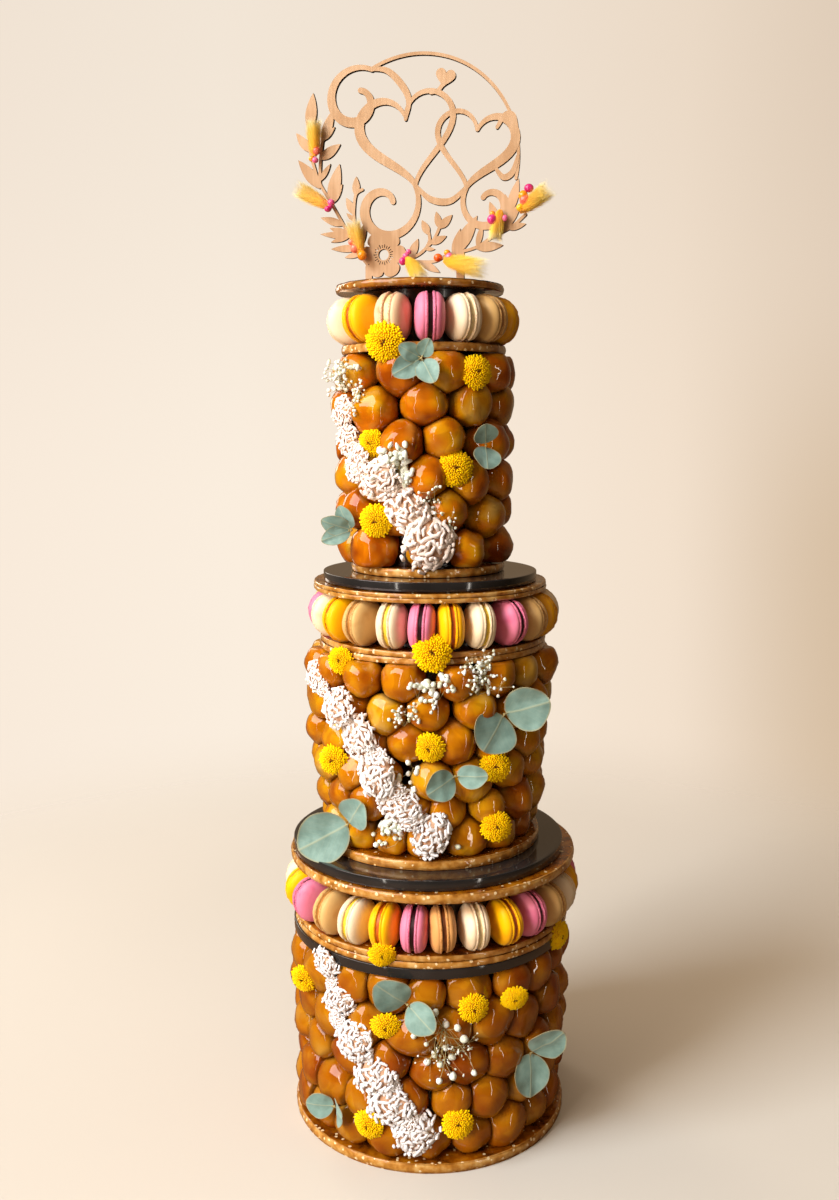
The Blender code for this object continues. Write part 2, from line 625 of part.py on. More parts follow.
def blossom_outline(centre, radius):
    """Six round petals."""
    points = []
    for i in range(BLOSSOM_POINTS):
        angle = math.tau * i / BLOSSOM_POINTS
        reach = radius * (0.78 + 0.22 * abs(math.cos(3 * angle)) ** 0.7)
        points.append((centre[0] + reach * math.cos(angle), centre[1] + reach * math.sin(angle)))
    return points


def smooth(points, count):
    """A Catmull-Rom curve through the points."""
    ends = [points[0], *points, points[-1]]
    made = []
    for i in range(count):
        place = i / (count - 1) * (len(points) - 1)
        k = min(int(place), len(points) - 2)
        t = place - k
        p0, p1, p2, p3 = ends[k:k + 4]
        made.append(tuple(0.5 * (2 * b + (c - a) * t + (2 * a - 5 * b + 4 * c - d) * t * t
                                 + (3 * b - a - 3 * c + d) * t ** 3)
                          for a, b, c, d in zip(p0, p1, p2, p3)))
    return made


def ornament_frame():
    """The upright frame of the ornament, at the foot of its pegs."""
    frame = bpy.data.objects.new("ornament", None)
    frame.location = (ORNAMENT_AXIS, 0, COVER_DISC[3] + GAP)
    frame.rotation_euler.z = math.radians(ORNAMENT_TURN)
    PARTS.objects.link(frame)
    return frame


def topper(frame):
    boards = [board([ribbon(arc(RING_CENTRE, RING_RADIUS, RING_FROM, RING_TO, ARC_POINTS),
                            [RING_WIDTH] * ARC_POINTS)])]
    boards += [board([leaf_outline(*leaf)]) for leaf in LEAVES]
    for stem in STEMS:
        boards.append(board([ribbon(stem, [STEM_WIDTH] * len(stem))]))
    for left, right, height in PEGS:
        boards.append(board([[(left, 0), (right, 0), (right, height), (left, height)]]))
    for centre, width, turn, left, right in HEARTS:
        for side, breadth in ((-1, left), (1, right)):
            line = heart_line(centre, width, turn, side * HEART_NOTCH, side * HEART_TIP,
                              HEART_POINTS)
            widths = swelling(HEART_POINTS, STROKE_END, breadth, STROKE_END)
            boards.append(board([ribbon(line, widths)]))
    boards.append(board([heart_line(*SMALL_HEART, HEART_NOTCH, 360 - HEART_NOTCH,
                                    HEART_POINTS)]))
    for centre, outer, inner, start, end, widths in SCROLLS:
        line = arc(centre, (outer, inner), start, end, SCROLL_POINTS)
        boards.append(board([ribbon(line, swelling(SCROLL_POINTS, *widths))]))
    for points, width in SWEEPS:
        widths = swelling(SWEEP_POINTS, STROKE_END, width, STROKE_END)
        boards.append(board([ribbon(smooth(points, SWEEP_POINTS), widths)]))
    boards.append(board([blossom_outline(BLOSSOM_CENTRE, BLOSSOM_RADIUS),
                         arc(BLOSSOM_CENTRE, BLOSSOM_HOLE, 0, 315, 8)]))
    part = add_part("wooden_topper", union("topper", boards), "poplar_plywood")
    part.parent = frame
    part.location.x = -ORNAMENT_AXIS
    part.rotation_euler.x = math.pi / 2


# ---- hare's-tail tufts on the ornament -----------------------------------------------------------
def berry_mesh(place, radius):
    bm = bmesh.new()
    bmesh.ops.create_uvsphere(bm, u_segments=5, v_segments=3, radius=radius * CM)
    bmesh.ops.translate(bm, verts=bm.verts, vec=place)
    return mesh_of(bm, "berry")


def hare_tail(frame, number, foot, tip, thickness, berries):
    """A soft oval seed head with two berries at its foot, tied to the front of the board."""
    name = f"hare_tail_{number}"
    length = math.dist(foot, tip) * CM
    radius = thickness / 2 * CM
    profile = [(across * radius, along * length) for across, along in TAIL_PROFILE]
    bm = drum(TAIL_SIDES, len(profile) - 1, lambda column, level: profile[level])
    tuft = mesh_of(bm, "tuft")
    front = -(PLY_THICKNESS / 2 + 2 * GAP) - radius
    along = Vector((tip[0] - foot[0], 0, tip[1] - foot[1])).normalized()
    tuft.transform(along.to_track_quat("Z", "Y").to_matrix().to_4x4())
    tuft.transform(Matrix.Translation((foot[0] * CM, front, foot[1] * CM)))
    meshes = [tuft]
    for x, height, size in berries:
        meshes.append(berry_mesh(Vector((x * CM, front, height * CM)), size))
    part = add_part(name, union(name, meshes), "hare_tail_grass")
    part.parent = frame
    part.location.x = -ORNAMENT_AXIS


# ---- the whole ------------------------------------------------------------------------------------
def build():
    for disc in NOUGATINE_DISCS:
        nougatine_disc(*disc)
    cover_disc(*COVER_DISC)
    for plate in PLATES:
        acrylic_plate(*plate)
    for tier in CHOUX_TIERS:
        choux_tier(*tier)
    for ring in MACARON_RINGS:
        macaron_ring(*ring)
    for row in GARLANDS:
        garland(*row)
    settled = [solid_points(part) for part in PARTS.objects]
    for number, sprig in enumerate(EUCALYPTUS, 1):
        settled.append(solid_points(eucalyptus(number, *sprig, settled)))
    for number, flower in enumerate(FLOWERS, 1):
        settled.append(solid_points(yellow_flower(number, *flower, settled)))
    frame = ornament_frame()
    topper(frame)
    for number, tail in enumerate(HARE_TAILS, 1):
        hare_tail(frame, number, *tail)


clear_scene()
PARTS = collection("croquembouche")
CUTTERS = collection("croquembouche_cutters")
build()
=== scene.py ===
"""Looks of a croquembouche: caramelled choux in three storeys on nougatine and acrylic, rings
of macarons, dried flowers, eucalyptus and a laser-cut wooden ornament.

Metres, +Z up, -Y the front. An azimuth is in degrees: 0 faces the front, positive towards +X.
"""
import json
import math
import random

import bmesh
import bpy
import numpy as np
from mathutils import Matrix, Vector, noise
from mathutils.bvhtree import BVHTree

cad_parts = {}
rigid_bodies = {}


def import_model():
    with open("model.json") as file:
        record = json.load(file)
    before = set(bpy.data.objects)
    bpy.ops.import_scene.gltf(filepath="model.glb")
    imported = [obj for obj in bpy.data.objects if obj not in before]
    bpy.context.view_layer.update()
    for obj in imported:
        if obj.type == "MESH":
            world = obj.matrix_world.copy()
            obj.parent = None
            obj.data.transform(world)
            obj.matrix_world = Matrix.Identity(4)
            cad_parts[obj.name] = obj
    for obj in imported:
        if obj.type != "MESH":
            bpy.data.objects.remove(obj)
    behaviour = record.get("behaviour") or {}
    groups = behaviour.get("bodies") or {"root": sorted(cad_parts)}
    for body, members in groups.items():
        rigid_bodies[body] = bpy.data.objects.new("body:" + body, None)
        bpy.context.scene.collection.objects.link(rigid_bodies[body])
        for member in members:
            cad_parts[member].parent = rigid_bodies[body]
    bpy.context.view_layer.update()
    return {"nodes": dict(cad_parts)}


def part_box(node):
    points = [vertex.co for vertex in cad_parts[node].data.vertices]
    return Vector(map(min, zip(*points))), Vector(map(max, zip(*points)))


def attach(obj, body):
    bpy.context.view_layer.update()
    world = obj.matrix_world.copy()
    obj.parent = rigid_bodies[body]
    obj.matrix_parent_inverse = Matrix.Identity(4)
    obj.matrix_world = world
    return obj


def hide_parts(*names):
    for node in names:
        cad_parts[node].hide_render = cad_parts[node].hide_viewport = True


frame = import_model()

MM = 0.001
CM = 0.01
UP = Vector((0, 0, 1))
GOLDEN_ANGLE = math.radians(137.508)

# ======================================================================== driving sizes
# choux walls: rows, choux in a row, wall radius at the foot and at the head, radius of a chou,
# depth of its dome as a share of that, radius of the dark core behind
TIERS = {
    "choux_tier_bottom": (5, 20, 0.1300, 0.1350, 0.0217, 0.72, 0.1120),
    "choux_tier_middle": (6, 16, 0.1020, 0.1185, 0.0201, 0.88, 0.0830),
    "choux_tier_top": (6, 9, 0.0795, 0.0850, 0.0212, 0.96, 0.0520),
}
WALL_BELLY = 2                   # the wall swells from foot to head, fastest at the foot
CHOU_KINDS = 7
CONTACT_ROUNDING = 2.2 * MM      # how softly a chou turns over where its neighbour presses it
# darker caramel near the contacts: caramel pooled there, and painted shade
POOL_AND_SHADE_WIDTH = 2.1 * MM            # how far from there the caramel is dark

MACARON_RADIUS = 0.0212
SHELL_HEIGHT = 7.6 * MM          # the smooth dome above the foot
FOOT_HEIGHT = 2.3 * MM
FILLING_HEIGHT = 3.4 * MM
# rings: macarons, thickness of one, azimuths and flavours of those in front from left to
# right, flavours of those behind from right to left
RINGS = {
    "macaron_ring_top": (0.0274, (-77, -49, -22, 4.5, 29.5, 53.5, 76),
                         "vanilla orange peach rose ivory hazelnut mustard",
                         "rose vanilla orange hazelnut rose ivory"),
    "macaron_ring_middle": (0.0240, (-84, -71, -56, -39, -21.5, -6.3, 8.3, 23.5, 41, 57, 72),
                            "rose vanilla orange hazelnut lemon rose orange lemon rose "
                            "hazelnut mustard",
                            "vanilla rose orange lemon hazelnut rose vanilla orange lemon "
                            "hazelnut orange"),
    "macaron_ring_bottom": (0.0246, (-89, -76, -62.5, -46.5, -32.5, -19.6, -7.4, 4.8, 17.8, 31.2,
                                     44.6, 58, 71, 83.5, 96),
                            "vanilla orange rose hazelnut lemon orange rose caramel ivory "
                            "orange rose hazelnut ivory mustard rose",
                            "lemon orange caramel rose vanilla hazelnut orange lemon rose "
                            "caramel vanilla orange hazelnut"),
}

TOP_SHIFT = -0.006    # the top tier stands this far to the left, in metres
TOP_TIER_FROM = 0.54    # what is above this height belongs to the top tier

# eucalyptus sprigs: tier shift, azimuth, height, then leaves: direction in degrees (0 right,
# 90 up), length, width, tilt away from the wall
SPRIGS = (
    (TOP_SHIFT, -1.0, 0.7170, ((150, 0.021, 0.016, 20), (62, 0.019, 0.015, 35),
                               (208, 0.027, 0.021, 12), (300, 0.024, 0.021, 25))),
    (TOP_SHIFT, 42.0, 0.6440, ((100, 0.019, 0.024, 25), (258, 0.021, 0.027, 25))),
    (TOP_SHIFT, -51.0, 0.5690, ((112, 0.023, 0.018, 20), (160, 0.027, 0.018, 35),
                                (205, 0.027, 0.017, 35))),
    (0.000, 33.5, 0.4130, ((22, 0.040, 0.042, 25), (236, 0.036, 0.044, 12))),
    (0.000, 11.5, 0.3610, ((203, 0.029, 0.028, 20), (2, 0.027, 0.022, 20))),
    (0.000, -43.0, 0.3060, ((208, 0.050, 0.046, 20), (50, 0.034, 0.032, 20))),
    (0.000, -8.0, 0.1630, ((140, 0.036, 0.034, 20), (317, 0.031, 0.029, 20))),
    (0.000, 44.5, 0.0950, ((42, 0.037, 0.034, 30), (266, 0.038, 0.036, 12))),
    (0.000, -41.0, 0.0450, ((183, 0.026, 0.025, 12), (5, 0.020, 0.027, 45))),
)
FORWARD = 0.45    # flowers and leaves at the sides face partly forward, by this share
# coral-like blossom clusters: node, tier shift, then (azimuth, height, width)
CLUSTERS = {
    "coral_garland_top": (TOP_SHIFT, ((-63, 0.6725, 0.031), (-57, 0.6480, 0.031),
                                      (-45, 0.6270, 0.032), (-28, 0.6140, 0.038),
                                      (-10.5, 0.5880, 0.043), (3.5, 0.5600, 0.050))),
    "coral_garland_middle": (0.0, ((-62, 0.4370, 0.032), (-43, 0.4155, 0.037),
                                   (-33, 0.3915, 0.041), (-24, 0.3605, 0.044),
                                   (-13.5, 0.3325, 0.037), (0.9, 0.3065, 0.041))),
    "coral_garland_bottom": (0.0, ((-44.5, 0.1810, 0.030), (-39, 0.1480, 0.035),
                                   (-30.3, 0.1185, 0.037), (-21, 0.0905, 0.040),
                                   (-14.5, 0.0630, 0.042), (-5.3, 0.0370, 0.043))),
}
# gypsophila sprays: tier shift, azimuth, height, width, height of the spray, blossoms,
# radius of a blossom
SPRAYS = (
    (TOP_SHIFT, -69, 0.7030, 0.062, 0.032, 96, 0.0016),
    (TOP_SHIFT, -46, 0.6830, 0.024, 0.034, 34, 0.0013),
    (TOP_SHIFT, -19.5, 0.6240, 0.036, 0.042, 78, 0.0023),
    (TOP_SHIFT, 10, 0.5930, 0.034, 0.032, 30, 0.0012),
    (TOP_SHIFT, 17, 0.5700, 0.016, 0.036, 20, 0.0013),
    (0.000, 23, 0.4490, 0.048, 0.042, 105, 0.0013), (0.000, 4.6, 0.4400, 0.034, 0.027, 22, 0.0025),
    (0.000, -5.0, 0.4370, 0.015, 0.018, 9, 0.0025), (0.000, -11, 0.4140, 0.030, 0.024, 36, 0.0014),
    (0.000, 0.9, 0.4250, 0.018, 0.010, 9, 0.0016), (0.000, -22, 0.3050, 0.027, 0.037, 50, 0.0021),
    (0.000, -11.5, 0.3570, 0.022, 0.030, 18, 0.0023), (0.000, 14, 0.2930, 0.008, 0.006, 2, 0.0022),
    (0.000, 7, 0.1180, 0.060, -0.058, 56, 0.0008),
)
# single large blossoms on long curved stems: azimuth, height, radius
LARGE_BLOSSOMS = (
    (2.3, 0.1568, 0.0034), (6.1, 0.1454, 0.0034), (10.3, 0.1418, 0.0034), (12.8, 0.1309, 0.0040),
    (6.1, 0.1222, 0.0030), (8.9, 0.1105, 0.0034), (2.0, 0.1123, 0.0032), (-0.8, 0.1076, 0.0034),
    (9.0, 0.0945, 0.0039), (3.7, 0.0916, 0.0032), (17.2, 0.0955, 0.0032), (-5.6, 0.1351, 0.0030),
    (-1.1, 0.1272, 0.0022), (4.1, 0.1056, 0.0030), (-1.8, 0.1457, 0.0017),
)
BACK_TURN = 172.0                # the back wears the front's trimmings, turned by this,
BACK_REACH = 42                  # but only those within so many degrees of its middle

# the ornament's frame: the foot of its pegs, turned a little about an upright axis
PLY_THICKNESS = 4 * MM
PLY_STEP = 0.004 * MM
ORNAMENT_AXIS = -0.014
ORNAMENT_TURN = -12.0

# ============================================================================ materials


def colour(hexadecimal, alpha=1.0):
    """An sRGB hex colour as linear RGBA."""
    parts = [int(hexadecimal[i:i + 2], 16) / 255 for i in (1, 3, 5)]
    return (*(c / 12.92 if c <= 0.04045 else ((c + 0.055) / 1.055) ** 2.4 for c in parts), alpha)


def put(tree, kind, settings=None, inputs=None, stops=()):
    """Adds a node; an input is a value or the socket that feeds it, stops fill a colour ramp."""
    made = tree.nodes.new(kind)
    for key, value in (settings or {}).items():
        setattr(made, key, value)
    for key, value in (inputs or {}).items():
        if isinstance(value, bpy.types.NodeSocket):
            tree.links.new(value, made.inputs[key])
        else:
            made.inputs[key].default_value = value
    if stops:
        ramp = made.color_ramp
        while len(ramp.elements) < len(stops):
            ramp.elements.new(0.5)
        for element, (place, shade) in zip(ramp.elements, stops):
            element.position = place
            element.color = colour(shade)
    return made


def material(name, **uniform):
    """A Principled material with those uniform socket values, and its tree and shader."""
    made = bpy.data.materials.new(name)
    made.use_nodes = True
    shader = made.node_tree.nodes["Principled BSDF"]
    for socket, value in uniform.items():
        shader.inputs[socket.replace("_", " ")].default_value = value
    return made, made.node_tree, shader


def grain(tree, size, detail=3.0, roughness=0.55, vector=None):
    """A noise whose blotches are that many metres across."""
    where = vector or put(tree, "ShaderNodeTexCoord").outputs["Object"]
    return put(tree, "ShaderNodeTexNoise",
               inputs={"Vector": where, "Scale": 1 / size, "Detail": detail,
                       "Roughness": roughness}).outputs["Fac"]


def caramelled_choux(tier, thick, middling, thin, bare_pastry):
    """Baked choux dipped in boiling caramel: the pastry's tan shows through an amber glaze
    that pools unevenly, under a hard wet gloss with soft ripples."""
    made, tree, shader = material(f"caramel_on_choux_{tier}", Roughness=0.45, Specular_IOR_Level=0.0,
                                  Coat_Weight=1.0, Coat_Roughness=0.012, Coat_IOR=1.62)
    tone = put(tree, "ShaderNodeAttribute", {"attribute_name": "tone"}).outputs["Fac"]
    flank = put(tree, "ShaderNodeAttribute", {"attribute_name": "flank"}).outputs["Fac"]
    pool = grain(tree, 24 * MM, 1.2)
    mixed = put(tree, "ShaderNodeMath", {"operation": "MULTIPLY_ADD"},
                {0: tone, 1: 0.42, 2: pool}).outputs[0]
    glaze = put(tree, "ShaderNodeValToRGB", inputs={"Fac": mixed},
                stops=((0.40, thick), (0.60, middling), (0.80, thin),
                       (1.0, bare_pastry))).outputs["Color"]
    bare = put(tree, "ShaderNodeMath", {"operation": "MULTIPLY_ADD", "use_clamp": True},
               {0: grain(tree, 14 * MM, 1.0), 1: 3.2, 2: -1.66}).outputs[0]
    bare_flank = put(tree, "ShaderNodeMath", {"operation": "MULTIPLY", "use_clamp": True},
                     {0: bare, 1: flank}).outputs[0]
    skin = put(tree, "ShaderNodeMix", {"data_type": "RGBA"},
               {0: bare_flank, 6: glaze, 7: colour(bare_pastry)}).outputs[2]
    where = put(tree, "ShaderNodeTexCoord").outputs["Object"]
    swirl = put(tree, "ShaderNodeTexNoise", inputs={"Vector": where, "Scale": 1 / (26 * MM),
                                                    "Detail": 1.0, "Distortion": 1.6})
    folds = put(tree, "ShaderNodeMapRange", inputs={"Value": swirl.outputs["Fac"], 1: 0.46,
                                                    2: 0.53, 3: 0.27, 4: 0.0}).outputs["Result"]
    folded = put(tree, "ShaderNodeMix", {"data_type": "RGBA"},
                 {0: folds, 6: skin, 7: colour("#8c3801")}).outputs[2]
    # darker near the contacts: caramel pooled there, and painted shade
    contact_pool_and_shade = put(tree, "ShaderNodeAttribute", {"attribute_name": "contact_pool_and_shade"}).outputs["Fac"]
    dark = put(tree, "ShaderNodeMix", {"data_type": "RGBA"},
               {0: contact_pool_and_shade, 6: folded, 7: colour("#3c1401")}).outputs[2]
    # darker where the glaze turns edge-on to the view: painted shade at the silhouettes, and the
    # deeper glaze seen slantwise
    edge_on = put(tree, "ShaderNodeLayerWeight", inputs={"Blend": 0.35}).outputs["Facing"]
    deep = put(tree, "ShaderNodeMath", {"operation": "MULTIPLY"}, {0: edge_on, 1: 0.60}).outputs[0]
    shade = put(tree, "ShaderNodeMix", {"data_type": "RGBA"},
                {0: deep, 6: dark, 7: colour("#6c2a01")}).outputs[2]
    tree.links.new(shade, shader.inputs["Base Color"])
    ripple = put(tree, "ShaderNodeBump", inputs={"Strength": 0.55, "Distance": 2.0 * MM,
                                                 "Height": grain(tree, 15 * MM, 0.8)})
    tree.links.new(ripple.outputs["Normal"], shader.inputs["Normal"])
    tree.links.new(ripple.outputs["Normal"], shader.inputs["Coat Normal"])
    return made


def gap_shade_caramel():
    """A core of caramel painted nearly black, for the shade in the deep gaps between the choux."""
    made, tree, shader = material("gap_shade_caramel", Roughness=0.25, Coat_Weight=0.3)
    shade = put(tree, "ShaderNodeValToRGB", inputs={"Fac": grain(tree, 6 * MM)},
                stops=((0.35, "#120500"), (0.70, "#3a1803")))
    tree.links.new(shade.outputs["Color"], shader.inputs["Base Color"])
    return made


def nougatine_brittle():
    """Nougatine rolled thin and cut hot: slivers of almond set in brown caramel, glossy on
    top, paler and rougher at the cut edge."""
    made, tree, shader = material("nougatine_brittle", Coat_Weight=0.9, Coat_Roughness=0.07,
                                  Specular_IOR_Level=0.3)
    where = put(tree, "ShaderNodeTexCoord").outputs["Object"]
    edge = put(tree, "ShaderNodeAttribute", {"attribute_name": "edge"}).outputs["Fac"]
    syrup = put(tree, "ShaderNodeValToRGB", inputs={"Fac": grain(tree, 15 * MM, 5.0)},
                stops=((0.36, "#4e2102"), (0.50, "#884503"), (0.66, "#ae6a0c"))).outputs["Color"]
    crumb = put(tree, "ShaderNodeValToRGB", inputs={"Fac": grain(tree, 9 * MM, 3.0)},
                stops=((0.34, "#965a16"), (0.50, "#bb7e32"), (0.66, "#d0a05a"))).outputs["Color"]
    base = put(tree, "ShaderNodeMix", {"data_type": "RGBA"},
               {0: edge, 6: syrup, 7: crumb}).outputs[2]
    bent = put(tree, "ShaderNodeTexNoise", inputs={"Vector": where, "Scale": 1 / (4 * MM)})
    shifted = put(tree, "ShaderNodeMix", {"data_type": "VECTOR"},
                  {0: 0.0016, 4: where, 5: bent.outputs["Color"]})
    nuts = put(tree, "ShaderNodeTexVoronoi", inputs={"Vector": shifted.outputs[1],
                                                     "Scale": 1 / (3.4 * MM)})
    chosen = put(tree, "ShaderNodeSeparateColor", inputs={0: nuts.outputs["Color"]})
    few = put(tree, "ShaderNodeMapRange", inputs={"Value": edge, 3: 0.90, 4: 0.80})
    pick_one = put(tree, "ShaderNodeMath", {"operation": "GREATER_THAN"},
                   {0: chosen.outputs["Red"], 1: few.outputs["Result"]}).outputs[0]
    inside = put(tree, "ShaderNodeMath", {"operation": "LESS_THAN"},
                 {0: nuts.outputs["Distance"], 1: 0.42}).outputs[0]
    share = put(tree, "ShaderNodeMath", {"operation": "MULTIPLY"},
                {0: pick_one, 1: inside}).outputs[0]
    shade = put(tree, "ShaderNodeMix", {"data_type": "RGBA"},
                {0: share, 6: base, 7: colour("#efd2a0")}).outputs[2]
    tree.links.new(shade, shader.inputs["Base Color"])
    gloss = put(tree, "ShaderNodeMapRange", inputs={"Value": edge, 3: 0.14, 4: 0.34})
    tree.links.new(gloss.outputs["Result"], shader.inputs["Roughness"])
    relief = put(tree, "ShaderNodeBump", inputs={"Strength": 0.5, "Distance": 0.9 * MM,
                                                 "Height": grain(tree, 8 * MM, 3.0)})
    tree.links.new(relief.outputs["Normal"], shader.inputs["Normal"])
    return made


def almond_shell(flavour, body, deep):
    """Macaron shell: ground almond meringue, matt with a faint silky skin, paler on the dome
    and open-pored and darker at the foot."""
    made, tree, shader = material(f"almond_shell_{flavour}", Roughness=0.36, Sheen_Weight=0.1,
                                  Sheen_Roughness=0.4, Specular_IOR_Level=0.22)
    foot = put(tree, "ShaderNodeAttribute", {"attribute_name": "foot"}).outputs["Fac"]
    speck = put(tree, "ShaderNodeValToRGB", inputs={"Fac": grain(tree, 16 * MM, 1.5)},
                stops=((0.20, deep), (0.44, body))).outputs["Color"]
    pores = put(tree, "ShaderNodeValToRGB", inputs={"Fac": grain(tree, 1.3 * MM, 2.0)},
                stops=((0.36, deep), (0.56, body))).outputs["Color"]
    shade = put(tree, "ShaderNodeMix", {"data_type": "RGBA"}, {0: foot, 6: speck, 7: pores})
    tree.links.new(shade.outputs[2], shader.inputs["Base Color"])
    depth = put(tree, "ShaderNodeMapRange", inputs={"Value": foot, 3: 0.06, 4: 0.8})
    relief = put(tree, "ShaderNodeBump",
                 inputs={"Strength": depth.outputs["Result"], "Distance": 0.6 * MM,
                         "Height": grain(tree, 1.4 * MM, 3.0)})
    tree.links.new(relief.outputs["Normal"], shader.inputs["Normal"])
    return made


def filling(flavour, body):
    """Macaron filling: set ganache or buttercream, smooth with a slight fatty gloss."""
    made, tree, shader = material(f"filling_{flavour}", Roughness=0.38)
    cream = put(tree, "ShaderNodeMix", {"data_type": "RGBA", "blend_type": "MULTIPLY"},
                {0: 0.35, 6: colour(body)})
    streak = put(tree, "ShaderNodeValToRGB", inputs={"Fac": grain(tree, 3 * MM)},
                 stops=((0.3, "#c09070"), (0.6, "#ffffff")))
    tree.links.new(streak.outputs["Color"], cream.inputs[7])
    tree.links.new(cream.outputs[2], shader.inputs["Base Color"])
    return made


def smoked_acrylic():
    """Cast acrylic sheet, smoke-tinted and flame-polished: a dark mirror with faint wiping
    marks that blur the gloss here and there."""
    made, tree, shader = material("smoked_acrylic", IOR=1.49, Coat_Weight=0.5,
                                  Coat_Roughness=0.02)
    tint = put(tree, "ShaderNodeValToRGB", inputs={"Fac": grain(tree, 40 * MM, 2.0)},
               stops=((0.3, "#201d1b"), (0.7, "#2c2927")))
    tree.links.new(tint.outputs["Color"], shader.inputs["Base Color"])
    wipe = put(tree, "ShaderNodeMapRange", inputs={"Value": grain(tree, 12 * MM, 5.0),
                                                   3: 0.04, 4: 0.16})
    tree.links.new(wipe.outputs["Result"], shader.inputs["Roughness"])
    return made


def poplar_face():
    """Bare poplar plywood, sanded: light pinkish tan with faint upright figure."""
    made, tree, shader = material("poplar_plywood", Roughness=0.65, Specular_IOR_Level=0.25)
    where = put(tree, "ShaderNodeTexCoord").outputs["Object"]
    along = put(tree, "ShaderNodeMapping", inputs={"Vector": where, "Scale": (1, 1, 0.07)})
    figure = grain(tree, 2.6 * MM, 2.0, 0.5, along.outputs["Vector"])
    both = put(tree, "ShaderNodeMath", {"operation": "MULTIPLY_ADD"},
               {0: figure, 1: 0.6, 2: grain(tree, 30 * MM, 2.0)}).outputs[0]
    shade = put(tree, "ShaderNodeValToRGB", inputs={"Fac": both},
                stops=((0.60, "#b38a63"), (0.80, "#c09871"), (1.0, "#c9a37e")))
    tree.links.new(shade.outputs["Color"], shader.inputs["Base Color"])
    return made


def charred_edge():
    """The laser's cut: plywood charred dark brown to black, matt."""
    made, tree, shader = material("laser_charred_edge", Roughness=0.85, Specular_IOR_Level=0.2)
    shade = put(tree, "ShaderNodeValToRGB", inputs={"Fac": grain(tree, 2 * MM)},
                stops=((0.35, "#140a05"), (0.7, "#3a2112")))
    tree.links.new(shade.outputs["Color"], shader.inputs["Base Color"])
    return made


def dried_petal():
    """Dried santini florets: matt saturated yellow, with painted shade deeper down between the
    florets, and darker in the eye."""
    made, tree, shader = material("dried_yellow_floret", Roughness=0.8, Sheen_Weight=0.05,
                                  Specular_IOR_Level=0.05)
    heart = put(tree, "ShaderNodeAttribute", {"attribute_name": "heart"}).outputs["Fac"]
    mixed = put(tree, "ShaderNodeMath", {"operation": "MULTIPLY_ADD", "use_clamp": True},
                {0: grain(tree, 3 * MM), 1: 0.3, 2: heart}).outputs[0]
    shade = put(tree, "ShaderNodeValToRGB", inputs={"Fac": mixed},
                stops=((0.15, "#ffd600"), (0.45, "#fdc400"), (0.75, "#e09e00"),
                       (1.0, "#6a3c03")))
    tree.links.new(shade.outputs["Color"], shader.inputs["Base Color"])
    return made


def coral_blossom():
    """Small tubular blossoms, waxy white low on the tower and peach higher up."""
    made, tree, shader = material("coral_blossom", Roughness=0.55, Sheen_Weight=0.2,
                                  Specular_IOR_Level=0.35)
    where = put(tree, "ShaderNodeTexCoord").outputs["Object"]
    apart = put(tree, "ShaderNodeSeparateXYZ", inputs={0: where})
    up = put(tree, "ShaderNodeMapRange", inputs={"Value": apart.outputs["Z"], 1: 0.30, 2: 0.60})
    mixed = put(tree, "ShaderNodeMath", {"operation": "MULTIPLY_ADD"},
                {0: grain(tree, 9 * MM, 2.0), 1: 0.9, 2: up.outputs["Result"]}).outputs[0]
    shade = put(tree, "ShaderNodeValToRGB", inputs={"Fac": mixed},
                stops=((0.35, "#e8e2df"), (0.75, "#f8efe8"), (1.0, "#fbe9dc")))
    tree.links.new(shade.outputs["Color"], shader.inputs["Base Color"])
    return made


def eucalyptus_leaf():
    """Silver-dollar eucalyptus, dried: waxy blue-green bloom, pale midrib and side veins, a
    thin tan margin."""
    made, tree, shader = material("eucalyptus_leaf", Roughness=0.55, Sheen_Weight=0.25,
                                  Sheen_Roughness=0.5, Specular_IOR_Level=0.35)
    uv = put(tree, "ShaderNodeUVMap", {"uv_map": "leaf"}).outputs["UV"]
    apart = put(tree, "ShaderNodeSeparateXYZ", inputs={0: uv})
    u, v = apart.outputs["X"], apart.outputs["Y"]
    bloom = put(tree, "ShaderNodeValToRGB", inputs={"Fac": grain(tree, 9 * MM, 4.0)},
                stops=((0.32, "#738f83"), (0.55, "#819d90"), (0.75, "#8ea89b"))).outputs["Color"]
    across = put(tree, "ShaderNodeMath", {"operation": "ABSOLUTE"}, {0: v}).outputs[0]
    midrib = put(tree, "ShaderNodeMapRange", inputs={"Value": across, 1: 0.0, 2: 0.035,
                                                     3: 0.8, 4: 0.0}).outputs["Result"]
    slant = put(tree, "ShaderNodeMath", {"operation": "MULTIPLY_ADD"},
                {0: across, 1: -1.1, 2: u}).outputs[0]
    bars = put(tree, "ShaderNodeMath", {"operation": "PINGPONG"}, {0: slant, 1: 0.075}).outputs[0]
    side = put(tree, "ShaderNodeMapRange", inputs={"Value": bars, 1: 0.0, 2: 0.010,
                                                   3: 0.22, 4: 0.0}).outputs["Result"]
    vein = put(tree, "ShaderNodeMath", {"operation": "MAXIMUM"}, {0: midrib, 1: side}).outputs[0]
    veined = put(tree, "ShaderNodeMix", {"data_type": "RGBA"},
                 {0: vein, 6: bloom, 7: colour("#abb394")}).outputs[2]
    margin = put(tree, "ShaderNodeAttribute", {"attribute_name": "margin"}).outputs["Fac"]
    rim = put(tree, "ShaderNodeMapRange", inputs={"Value": margin, 1: 0.93, 2: 1.0,
                                                  3: 0.0, 4: 0.8}).outputs["Result"]
    shade = put(tree, "ShaderNodeMix", {"data_type": "RGBA"},
                {0: rim, 6: veined, 7: colour("#a99a6c")})
    tree.links.new(shade.outputs[2], shader.inputs["Base Color"])
    relief = put(tree, "ShaderNodeBump", inputs={"Strength": 0.5, "Distance": 0.4 * MM,
                                                 "Height": vein})
    tree.links.new(relief.outputs["Normal"], shader.inputs["Normal"])
    return made


